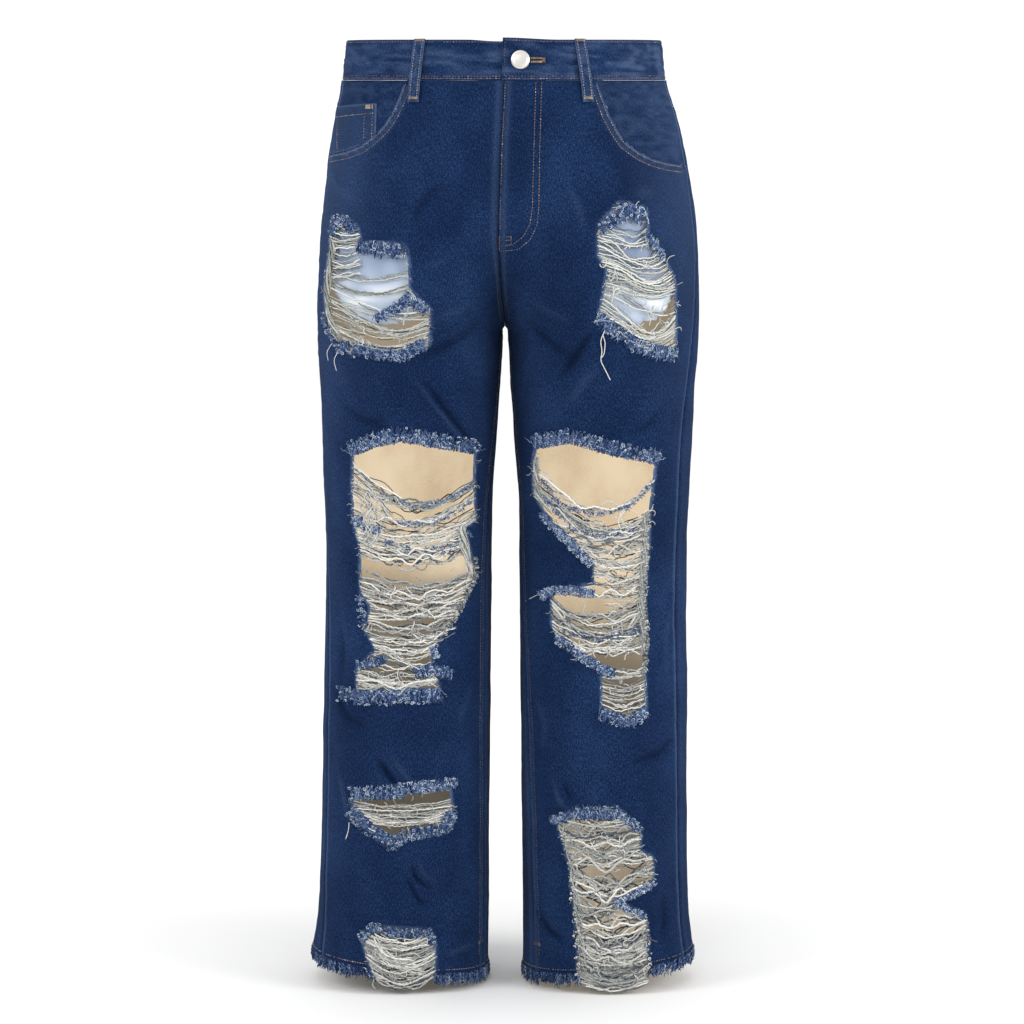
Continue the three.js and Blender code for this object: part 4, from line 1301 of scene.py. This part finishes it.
# one hole: undyed yarns across it, blue frayed ends along its edges
class tear:
    def __init__(self, name):
        self.side = sideOf["right" if name.startswith("right") else "left"]
        self.outline = rips[name]
        self.pale, self.blue = yarnHeap(), yarnHeap()
        tears[name] = self

    # yarns from edge to edge: straight from left to right height, plus a sag
    # (mid - straight) sin(pi s^q), lowest at the share low of the span, plus a waver;
    # u spreads them by fan mm at left, middle and right
    def strands(self, left, mid, right, count, fan, low, wander, thick, tone, ends, depth, sides):
        u = np.linspace(-0.5, 0.5, count) + rng.normal(0, 0.4 / count, count)
        mixed = 0.8 * u + 0.2 * rng.uniform(-0.5, 0.5, count)
        zl, zm, zr = left + fan[0] * u, mid + fan[1] * mixed, right + fan[2] * (0.7 * u + 0.3 * mixed)
        if ends is None:
            x0, x1 = (holeEdge(self.outline, z, end) + shy
                      for z, end, shy in ((zl, 0, -tuckIn), (zr, 1, tuckIn)))
        else:
            x0, x1 = (float(end) + rng.normal(0, 1.2, count) for end in ends)
        span = float(np.mean(x1 - x0))
        s = np.linspace(0, 1, int(np.clip(span / (2.5 if sides > 3 else 3.6), 8, 48)))
        hump = np.sin(math.pi * s ** (math.log(0.5) / math.log(low)))
        straight = zl[:, None] + (zr - zl)[:, None] * s
        pin = np.sin(math.pi * np.clip(s, 0.03, 0.97)) ** 0.5
        bend = waver(count, len(s), wander, 0.7, max(span / 26, 1.3)) * pin
        up, outer = crimps(count, s, x1 - x0, rng.uniform(4.6, 7.6, count), 0.46)
        z = straight + (zm - zl - (zr - zl) * low)[:, None] * hump + bend + up * pin
        x = x0[:, None] + (x1 - x0)[:, None] * s + waver(count, len(s), wander * 0.4) * pin
        out = (rng.uniform(*depth, (count, 1)) + 0.8) * pin
        out = -0.8 + out + (waver(count, len(s), 0.6) + outer) * pin
        self.pale.lay(x, z, out, self.side, thick * rng.uniform(0.7, 1.2, (count, 1)), tone, 0.2, sides)

    # a bundle of wefts: thin yarns at the back, toned darker as a painted shade behind the front ones,
    # thick pale ones in front
    def weft(self, left, mid, right, count, fan, low, wander=3.3, thick=1.08, tone=0.66, ends=None):
        wide = [1.15 * f for f in fan]
        self.strands(left, mid, right, max(2, round(0.3 * count)), wide, low, wander * 1.2,
                     thick * 0.7, tone - 0.3, ends, (-3.4, -1.2), 3)
        self.strands(left, mid, right, max(2, round(0.33 * count)), fan, low, wander, thick,
                     tone + 0.1, ends, (-1.4, 1.6), 4)

    # several bundles: (left height, middle, right, count, fan, low) of each
    def net(self, rows, *look):
        for row in rows:
            self.weft(*row, *look)

    # yarns that run up and down beside an edge, or at x = off, and wind round one another
    def bundle(self, count, heights, foot, points, end, off, swing, wave, stray, thick, tones,
               lift=0.6, heave=1.0, heaveWave=None, twist=1.0, sides=4):
        for k in range(count):
            z = np.linspace(heights[0], heights[1] + rng.uniform(*foot), points)
            x = off if end is None else holeEdge(self.outline, z, end) + off
            x = x + swing * np.cos(z / wave + twist * k) + rng.normal(0, stray)
            out = lift + heave * np.sin(z / (heaveWave or wave) + k)
            tone = rng.uniform(*tones) if tones else 0.8
            self.pale.add(onCloth(x, z, 1, out, self.side)[None], thick, np.array([tone]), sides)

    # a frayed band: a dark mat underneath, crimped ends over it and pale loops on top
    def band(self, path, way, reach, density, tone=0.0, shy=2.0, heap=None):
        at = (heap or self.blue, self.side, path, way, reach)
        curls(*at, 0.9 * density, (4, 7), 0.8, 1.15, 0.34 + tone, shy, 0.2, 0.6, 6, 0.08)
        curls(*at, 0.6 * density, thick=0.56, tone=0.6 + tone, shy=shy, p=9)
        loopsOn(*at, 0.8 * density, 0.48, 0.78 + tone, shy, 7)

    # blue ends above and below a slack line of yarns, with pale loops along it
    def fringe(self, path, below, perMm):
        curls(self.blue, self.side, path, 1, 4, 0.7, tone=0.62, shy=1)
        curls(self.blue, self.side, path, -1, below, perMm, tone=0.6, shy=1)
        loopsOn(self.pale, self.side, path, 1, 5, 0.4, tone=0.8, shy=2.5)

    def thread(self, points, thick, tone):
        points = np.asarray(points, float)
        far = runLength(points)
        s = np.linspace(0, far[-1], 6 * len(points))
        kernel = np.ones(5) / 5
        x, z = (np.convolve(np.pad(np.interp(s, far, points[:, k]), 2, "edge"), kernel, "valid")
                for k in (0, 1))
        line = onCloth(x, z, 1, np.full(len(x), 1.2), self.side)
        self.pale.add(line[None], thick, np.array([tone]), 4)

    # loose yarns round the rim
    def roughEdges(self, count):
        base, _, _ = alongPath(list(self.outline) + [self.outline[0]], count)
        base = base[base[:, 1] > hemZ + 4]
        n = len(base)
        strays(self, *base.T, rng.uniform(0, 6.28, n), rng.uniform(2.5, 7, n), 0.34, 0.62, 1.2, 9, 0.8)

    # loose yarns inside the hole, between two corners
    def tangles(self, box, count, thick=0.56):
        (x0, z0), (x1, z1) = box
        x, z = rng.uniform(x0, x1, count * 2), rng.uniform(z0, z1, count * 2)
        inside = insideOutline(x, z, self.outline)
        x, z = x[inside][:count], z[inside][:count]
        n = len(x)
        strays(self, x, z, rng.uniform(0, 6.28, n), rng.uniform(7, 20, n), thick, 0.74, 2.0, 12, 0.4)


# thigh, wearer's right
torn = tear("rightThigh")
torn.net([
    (-176, -181, -180, 12, (20, 16, 14), 0.5),
    (-212, -225, -217, 7, (5, 2, 4), 0.45), (-225, -240, -233, 7, (5, 2, 5), 0.5),
    (-240, -262, -262, 8, (16, 8, 10), 0.6), (-256, -280, -272, 22, (30, 12, 14), 0.6),
    (-276, -296, -284, 16, (14, 5, 8), 0.55)], 1.0, 0.7, 0.72)
torn.weft(-201, -204, -199, 34, (46, 44, 42), 0.5, 1.0, 0.7, 0.66, ends=(-184, -150))
torn.bundle(16, (-184, -290), (-6, 14), 14, end=0, off=4, swing=2.2, wave=7, stray=0.8, thick=0.62,
            tones=(0.35, 0.85), heave=1.2, sides=3)  # braided, down the outer edge
torn.band([(-184, -176), (-177, -160), (-166, -159), (-152, -174)], -1, 14, 1.2)
torn.band([(-150, -186), (-126, -188), (-103, -190)], -1, 17, 1.3)
torn.band([(-134, -262), (-112, -250), (-99, -238), (-79, -254)], -1, 12, 1.4, 0.0, 1)
torn.band([(-172, -298), (-140, -302), (-108, -306), (-82, -294)], -1, 15, 1.4, 0.0, 9)
torn.band([(-190, -262), (-182, -286), (-170, -298)], -1, 7, 0.9)
torn.thread([(-101, -235), (-93, -241), (-90, -250), (-94, -257)], 0.5, 0.8)
torn.thread([(-180, -292), (-186, -302), (-184, -312)], 0.4, 0.9)
torn.thread([(-172, -298), (-178, -310), (-175, -322)], 0.4, 0.9)
torn.tangles(((-176, -292), (-90, -264)), 14)
torn.roughEdges(46)

# thigh, wearer's left
torn = tear("leftThigh")
torn.net([
    (-176, -186, -180, 14, (16, 14, 14), 0.6), (-192, -212, -204, 24, (20, 16, 18), 0.65),
    (-211, -232, -224, 24, (18, 13, 18), 0.68), (-228, -241, -236, 10, (8, 8, 8), 0.6),
    (-238, -261, -257, 7, (4, 3, 5), 0.7), (-254, -284, -270, 26, (22, 12, 22), 0.62),
    (-272, -297, -286, 26, (16, 14, 20), 0.6)], 1.4, 0.72, 0.72)
torn.band([(97, -170), (110, -160), (121, -158)], -1, 13, 1.2)
torn.band([(121, -147), (134, -150), (147, -153)], -1, 20, 1.3, 0.05)
torn.band([(148, -178), (158, -190), (166, -202)], -1, 10, 1.0, 0.1)
torn.band([(96, -264), (118, -280), (140, -293), (160, -300), (178, -304)], -1, 17, 1.4, 0.0, 7)
torn.thread([(104, -276), (99, -288), (101, -300), (99, -308), (104, -318), (110, -330)], 0.5, 0.9)
torn.thread([(101, -280), (104, -290), (103, -302), (100, -306)], 0.45, 0.9)
torn.tangles(((104, -292), (174, -180)), 44, thick=0.7)
torn.roughEdges(60)

# knee, wearer's right
torn = tear("rightKnee")
torn.net([
    (-434, -462, -441, 18, (24, 4, 8), 0.55), (-458, -481, -453, 16, (22, 4, 7), 0.5),
    (-492, -505, -486, 40, (34, 34, 36), 0.5), (-505, -517, -503, 16, (20, 18, 22), 0.5),
    (-534, -549, -537, 6, (8, 3, 6), 0.55), (-550, -561, -548, 30, (24, 17, 26), 0.5),
    (-574, -578, -571, 22, (16, 11, 16), 0.45), (-590, -594, -587, 12, (10, 5, 12), 0.5),
    (-602, -606, -598, 8, (7, 3, 9), 0.5), (-613, -619, -611, 18, (8, 5, 12), 0.5),
    (-650, -654, -647, 26, (18, 6, 5), 0.6)])
for z0 in (-602, -610, -618, -627, -636, -645):
    torn.weft(z0 + 2, z0 - 4, z0 + 2, 7, (8, 6, 9), 0.5, 1.8, 0.8, 0.66)
torn.weft(-616, -632, -650, 9, (8, 5, 8), 0.5, 1.2, 0.8, 0.72, ends=(-140, -70))
torn.weft(-596, -600, -590, 18, (14, 20, 24), 0.5, 1.6, 0.66, 0.66, ends=(-98, -52))
torn.weft(-618, -630, -642, 7, (5, 3, 4), 0.5, 0.9, 0.7, 0.8, ends=(-122, -78))
torn.weft(-430, -448, -476, 16, (24, 10, 14), 0.5, 1.2, 0.7, 0.66, ends=(-160, -118))
torn.bundle(14, (-474, -542), (-8, 8), 13, end=1, off=-5, swing=2.2, wave=9, stray=1.2, thick=0.64,
            tones=(0.5, 0.95), lift=0.9)  # beside the inner edge
torn.bundle(9, (-446, -500), (-8, 8), 13, end=None, off=-140, swing=4.5, wave=6, stray=3, thick=0.6,
            tones=None, lift=1.5, heaveWave=5, twist=1.7)  # knotted, in the upper middle
torn.band([(-161, -408), (-134, -397), (-109, -391), (-70, -398), (-29, -407)], 1, 17, 1.6, 0.0, 3)
torn.band([(-160, -480), (-146, -488), (-131, -492)], 1, 12, 1.0, 0.1)
torn.band([(-152, -560), (-149, -575), (-146, -590)], -1, 9, 0.9)
torn.band([(-156, -634), (-140, -631), (-127, -624)], 1, 11, 1.2, 0.0, 5)
torn.band([(-94, -640), (-76, -636), (-58, -643)], -1, 14, 1.3, 0.0, 6)
torn.band([(-178, -660), (-150, -662), (-111, -658), (-69, -659)], -1, 18, 1.5)
torn.band([(-78, -612), (-74, -624)], 1, 8, 0.9, 0.2)
torn.band([(-32, -520), (-34, -545), (-52, -580), (-66, -600)], 1, 6, 0.5, 0.0, heap=torn.pale)
for path in ([(-128, -450), (-96, -462), (-60, -456), (-36, -442)],
             [(-112, -478), (-84, -482), (-56, -472), (-38, -460)]):
    torn.fringe(path, 5, 0.9)
curls(torn.blue, torn.side, [(-124, -496), (-96, -506), (-60, -504), (-40, -490)], -1, 12, 0.6, tone=0.5)
torn.tangles(((-150, -520), (-50, -486)), 34)
torn.tangles(((-140, -620), (-60, -545)), 46)
torn.tangles(((-140, -660), (-80, -640)), 14)
torn.roughEdges(110)

# knee, wearer's left
torn = tear("leftKnee")
torn.net([
    (-430, -467, -438, 6, (6, 2, 6), 0.56), (-447, -489, -477, 26, (12, 13, 16), 0.56),
    (-486, -498, -490, 10, (10, 8, 12), 0.5), (-502, -508, -500, 18, (16, 14, 18), 0.5),
    (-519, -526, -517, 18, (16, 14, 16), 0.5), (-536, -542, -533, 16, (14, 12, 14), 0.5),
    (-552, -557, -549, 8, (8, 6, 10), 0.5), (-563, -582, -565, 9, (5, 3, 10), 0.45),
    (-580, -604, -586, 26, (20, 11, 26), 0.5), (-597, -616, -604, 18, (9, 5, 26), 0.45),
    (-640, -644, -638, 14, (10, 10, 10), 0.5)])
torn.weft(-572, -592, -578, 12, (14, 8, 16), 0.5, 1.8, 0.8, 0.64)
for z0 in np.arange(-548, -622, -8.5):
    torn.weft(z0 + 3, z0 - 1, z0 + 5, 7, (8, 7, 9), 0.5, 1.8, 0.7, 0.64, ends=(108, 151))
for z0 in np.arange(-651, -692, -5.2):
    torn.weft(z0, z0 - 6, z0 + 1, 6, (5, 4, 5), 0.5, 1.1, 0.7, 0.68)
torn.bundle(12, (-412, -468), (-6, 6), 12, end=0, off=4, swing=2, wave=8, stray=0.8, thick=0.64,
            tones=(0.5, 0.9))  # down the inner edge of the upper hole
torn.bundle(14, (-470, -610), (-20, 20), 20, end=1, off=-4, swing=2, wave=9, stray=0.9, thick=0.6,
            tones=(0.4, 0.8))  # and down the outer edge
torn.band([(32, -401), (68, -393), (111, -405), (160, -416)], 1, 17, 1.6, 0.0, 3)
torn.band([(40, -472), (64, -496), (92, -522)], -1, 9, 1.3, 0.12)
for path in ([(40, -436), (60, -462), (96, -470), (130, -462), (152, -440)],
             [(44, -456), (72, -486), (104, -494), (140, -486)]):
    torn.fringe(path, 6, 1.0)
curls(torn.blue, torn.side, [(62, -600), (100, -606), (146, -600)], 1, 10, 0.6, tone=0.5)
torn.band([(36, -558), (52, -551), (72, -549), (94, -553)], -1, 11, 1.3, 0.1)
torn.band([(56, -604), (78, -620), (102, -636), (116, -641)], -1, 12, 1.4, 0.05, 5)
torn.band([(100, -684), (116, -690), (131, -696), (150, -684)], -1, 15, 1.4, 0.0, 8)
torn.band([(149, -480), (147, -560), (150, -606), (148, -640)], -1, 6, 0.5, 0.0, heap=torn.pale)
torn.thread([(44, -556), (34, -561), (26, -567)], 0.42, 0.8)
torn.thread([(138, -470), (128, -463), (120, -470), (124, -482), (134, -486), (142, -478)], 0.5, 0.9)
torn.thread([(126, -466), (118, -476), (122, -490), (131, -496)], 0.5, 0.95)
torn.tangles(((96, -560), (148, -500)), 36)
torn.tangles(((60, -620), (148, -575)), 40)
torn.tangles(((70, -500), (148, -470)), 22)
torn.tangles(((106, -690), (146, -645)), 16)
torn.roughEdges(120)

# shin, wearer's right
torn = tear("rightShin")
for z0 in (-782, -788, -795):
    torn.weft(z0 - 2, z0 - 4, z0, 8, (7, 5, 7), 0.5, 1.8, 0.8, 0.66)
torn.weft(-793, -802, -792, 24, (20, 6, 16), 0.5, 0.8, 0.7, 0.8)
torn.tangles(((-156, -808), (-64, -778)), 16)
torn.weft(-801, -812, -824, 14, (10, 4, 4), 0.5, 0.7, 0.7, 0.85, ends=(-164, -110))
torn.band([(-165, -778), (-134, -775), (-108, -773)], 1, 16, 1.5, 0.0, 2)
torn.band([(-110, -770), (-84, -768), (-52, -766)], 1, 14, 1.5, 0.1, 1)
torn.band([(-164, -792), (-146, -810), (-116, -827)], -1, 16, 1.4, 0.0, 8)
torn.band([(-116, -828), (-104, -819), (-60, -812), (-54, -794)], 1, 15, 1.4, 0.0, 3)
for x0, z0, x1, z1 in [(-96, -784, -94, -796), (-82, -780, -76, -790), (-112, -788, -104, -802),
                       (-90, -806, -88, -820), (-104, -806, -103, -818), (-74, -800, -72, -812)]:
    torn.thread([(x0, z0), ((x0 + x1) / 2 + 2, (z0 + z1) / 2), (x1, z1)], 0.42, 0.75)
torn.thread([(-165, -803), (-166, -812), (-170, -824)], 0.45, 0.9)
torn.roughEdges(44)

# hem, wearer's right: the hole runs out through the hem
torn = tear("rightHem")
torn.weft(-945, -956, -943, 24, (22, 34, 26), 0.5, 2.2, 0.86, 0.58)
torn.weft(-952, -968, -952, 28, (30, 34, 36), 0.5, 2.2, 0.86, 0.54)
torn.weft(-964, -977, -964, 14, (8, 8, 10), 0.5, 1.4, 0.8, 0.62)
torn.strands(-948, -958, -946, 70, (52, 56, 52), 0.5, 1.4, 1.1, 0.62, None, (-5, -2), 3)
torn.weft(-925, -936, -927, 26, (14, 16, 14), 0.5, 1.6, 0.9, 0.7)
for k in range(7):  # slack folds of the net, one below the other, that sink to the wearer's left
    torn.weft(-925 - 3 * k, -946 - 2 * k, -950 - 3 * k, 4, (3, 3, 3), 0.4, 1.0, 0.9, 0.8,
              ends=(-140, -100 + 3 * k))
torn.band([(-154, -931), (-146, -922), (-138, -917)], 1, 12, 1.3, 0.0, 4)
torn.band([(-138, -915), (-124, -920), (-104, -921), (-80, -921)], 1, 11, 1.3, 0.0, 6)
torn.band([(-80, -922), (-74, -936)], -1, 9, 1.0)
torn.tangles(((-146, -972), (-80, -935)), 24)
torn.roughEdges(40)

# shin, wearer's left: runs out through the hem
torn = tear("leftShin")
torn.net([
    (-806, -812, -806, 13, (8, 6, 6), 0.5), (-817, -824, -818, 15, (11, 9, 10), 0.5),
    (-830, -837, -832, 15, (12, 8, 10), 0.5), (-843, -847, -840, 11, (10, 5, 8), 0.5),
    (-854, -869, -853, 13, (12, 4, 12), 0.45), (-870, -881, -873, 19, (14, 10, 8), 0.45),
    (-886, -898, -888, 19, (16, 11, 6), 0.45), (-904, -913, -906, 10, (9, 4, 8), 0.5),
    (-912, -927, -916, 13, (12, 5, 12), 0.5), (-929, -940, -931, 13, (12, 9, 12), 0.5),
    (-945, -957, -948, 13, (12, 9, 12), 0.5), (-958, -974, -960, 17, (12, 9, 10), 0.5)],
    4.4, 1.25, 0.6)
torn.strands(-950, -960, -950, 56, (56, 56, 56), 0.5, 1.6, 1.1, 0.6, None, (-5, -2), 3)
torn.bundle(5, (-806, -960), (-10, 20), 26, end=0, off=3.5, swing=3, wave=8, stray=0.9, thick=0.6,
            tones=(0.4, 0.8), heaveWave=9, twist=1.3)
for path in ([(66, -812), (72, -850), (75, -890), (79, -940), (80, -970)],
             [(146, -838), (152, -866), (140, -884)], [(150, -912), (152, -940), (152, -968)]):
    loopsOn(torn.pale, torn.side, path, 1, 9, 0.5, thick=0.7, tone=0.7, shy=4)
torn.band([(50, -804), (64, -799), (78, -793)], 1, 11, 1.3, 0.0, 3)
torn.band([(76, -794), (96, -793), (120, -793)], 1, 17, 1.5, 0.0, 6)
torn.weft(-796, -802, -798, 14, (8, 8, 8), 0.5, 3.6, 1.1, 0.56)
torn.band([(118, -787), (132, -798), (146, -811)], 1, 10, 1.2, 0.05, 6)
torn.band([(158, -868), (138, -878), (118, -886)], 1, 9, 1.2, 0.1)
torn.band([(118, -886), (134, -895), (150, -904)], -1, 9, 1.2, 0.1)
torn.tangles(((74, -850), (142, -806)), 34)
torn.tangles(((76, -910), (120, -870)), 30)
torn.tangles(((80, -968), (150, -912)), 34)
torn.roughEdges(100)

for name, torn in tears.items():
    undyed = creamYarn if name.endswith("Thigh") else wornYarn
    finishPiece(torn.pale.join(name + "WornYarns", (undyed,)), "undyed_thread")
    finishPiece(torn.blue.join(name + "FrayedEnds", (blueYarn,)), "frayed_yarn")


# crimped ends all round a hem, 5 to 16 mm long
def ringCurls(name, turn):
    side, p = sideOf[name], 7
    turn = turn[~overRip(name, hemZ + 1.0, turn)]
    n = len(turn)
    s = np.linspace(0, 1, p)
    waves = 2 * math.pi * s * rng.uniform(1.8, 3.4, (n, 1)) + rng.uniform(0, 6.28, (n, 1))
    path = turn[:, None] + rng.normal(0, 2.2, (n, 1)) * s + 0.8 * np.sin(waves)
    reach = rng.uniform(6.5, 12.5, (n, 1)) * (1 + 0.3 * grain(turn / 5, turn * 0 + side)[:, None])
    down = 1.5 - (reach + 1.5) * s + 0.6 * np.cos(waves)
    out = rng.uniform(-0.6, 0.9, (n, 1)) + 0.7 * np.cos(waves) + 0.8 * s
    row = np.full((n, p), float(hemZ))
    points = skin(side, row, path) + outward(side, row, path) * out[..., None]
    points[..., 2] += down
    tone = np.clip(rng.normal(0.4, 0.22, n), 0, 1)
    return points, 0.62 * rng.uniform(0.8, 1.2, (n, 1)), tone, 3


# raw hems: tassels of warp yarn, leaning together in tufts about 5 mm wide
print("hem fringe")
tassel = {"yarns": 900, "ends": 760, "tuft": 2.9, "shortest": 1, "longer": 11.5, "thick": 0.85}
for name, side in sideOf.items():
    heap = yarnHeap()
    turn = np.sort(rng.uniform(-180, 180, tassel["yarns"]))
    turn = turn[~overRip(name, hemZ + 1.0, turn)]
    n = len(turn)
    tuft = np.floor((turn + 180) / tassel["tuft"] + 0.3 * grain(turn / 3, turn * 0)).astype(int)
    tufts = tuft.max() + 1
    tuftLean = rng.normal(0, 1.1, tufts)[tuft] + rng.normal(0, 0.5, n)
    tuftLong = rng.uniform(0.5, 1.0, tufts)[tuft] * rng.uniform(0.8, 1.0, n)
    middle = (tuft + 0.5) * tassel["tuft"] - 180
    s = np.linspace(0, 1, 5)
    pull = (middle - turn) * 0.35
    path = turn[:, None] + (pull + tuftLean * 0.6)[:, None] * s ** 1.3 + waver(n, 5, 0.3, 0.5, 1.5)
    down = hemZ + 1.0 - (tassel["shortest"] + tassel["longer"] * tuftLong)[:, None] * s
    out = rng.uniform(-1.6, -0.5, (n, 1)) + waver(n, 5, 0.45, 0.4, 1.2) + 0.4 * np.sin(math.pi * s)
    tone = 0.46 + 0.2 * rng.normal(0, 1, tufts)[tuft] + rng.normal(0, 0.14, n)
    tone = np.where(rng.random(n) < 0.05, 0.9, tone)  # a few undyed ones
    row = np.full((n, 5), float(hemZ))
    points = skin(side, row, path) + outward(side, row, path) * out[..., None]
    points[..., 2] += down - hemZ
    heap.add(points, tassel["thick"] * rng.uniform(0.8, 1.2, (n, 1)), np.clip(tone - 0.26, 0, 1), 3)
    heap.add(*ringCurls(name, np.sort(rng.uniform(-180, 180, tassel["ends"]))))
    finishPiece(heap.join("hemTassels" + name.capitalize(), (blueYarn,)), "frayed_yarn",
                f"hem_fringe_{name}")

# which pieces ride on which: the button and stitches on the waistband, the zip teeth on the tapes, the
# hem tassels on the backs, each tear's yarns on its front panel
print("flat cuts")
ridesOn = {"waistStrip": ["flyButton", "stitches"], "zipTapes": ["zipTeeth"],
           "backLeft": ["hemTasselsLeft"], "backRight": ["hemTasselsRight"]}
for place in tears:
    panel = "frontLeft" if place.startswith("left") else "frontRight"
    ridesOn.setdefault(panel, []).extend([place + "WornYarns", place + "FrayedEnds"])

# room and light: a wide pale floor, a white room and three soft lamps
floor = bpy.data.objects.new("floor", bpy.data.meshes.new("floor"))
scene.collection.objects.link(floor)
floor.data.from_pydata([(-30, -30, 0), (30, -30, 0), (30, 30, 0), (-30, 30, 0)], [], [(0, 1, 2, 3)])
floor.location = (0, 0, -0.99)
paper = clothLook("paper")  # painted shadow: greyer round where the legs stand, paler further out
away = paper.nodes.new("ShaderNodeVectorMath")
away.operation = "LENGTH"
paper.links.new(paper.nodes.new("ShaderNodeTexCoord").outputs["Object"], away.inputs[0])
paintedShadeGrey = paper.ramp(paper.span(away.outputs["Value"], 0.0, 1.5), (0.0, (0.70, 0.70, 0.70, 1)),
                  (0.4, (0.82, 0.82, 0.82, 1)), (1.0, (0.91, 0.91, 0.91, 1)))
floor.data.materials.append(paper.set(Base_Color=paintedShadeGrey, Roughness=0.9))
world = bpy.data.worlds.new("room")
scene.world = world
world.use_nodes = True
world.node_tree.nodes["Background"].inputs[0].default_value = (1, 1, 1, 1)
world.node_tree.nodes["Background"].inputs[1].default_value = 1.1


def softLight(name, place, aim, size, power):
    lamp = bpy.data.lights.new(name, "AREA")
    lamp.shape, lamp.size, lamp.energy = "SQUARE", size, power
    thing = bpy.data.objects.new(name, lamp)
    scene.collection.objects.link(thing)
    thing.location = place
    thing.rotation_euler = (Vector(aim) - Vector(place)).to_track_quat("-Z", "Y").to_euler()


softLight("rightSide", (2.3, -1.3, 0.5), (0, 0, -0.45), 1.2, 42)
softLight("leftSide", (-2.3, -1.5, 0.9), (0, 0, -0.5), 1.2, 36)
softLight("front", (-0.7, -3.4, 1.7), (0, 0, -0.4), 1.0, 16)
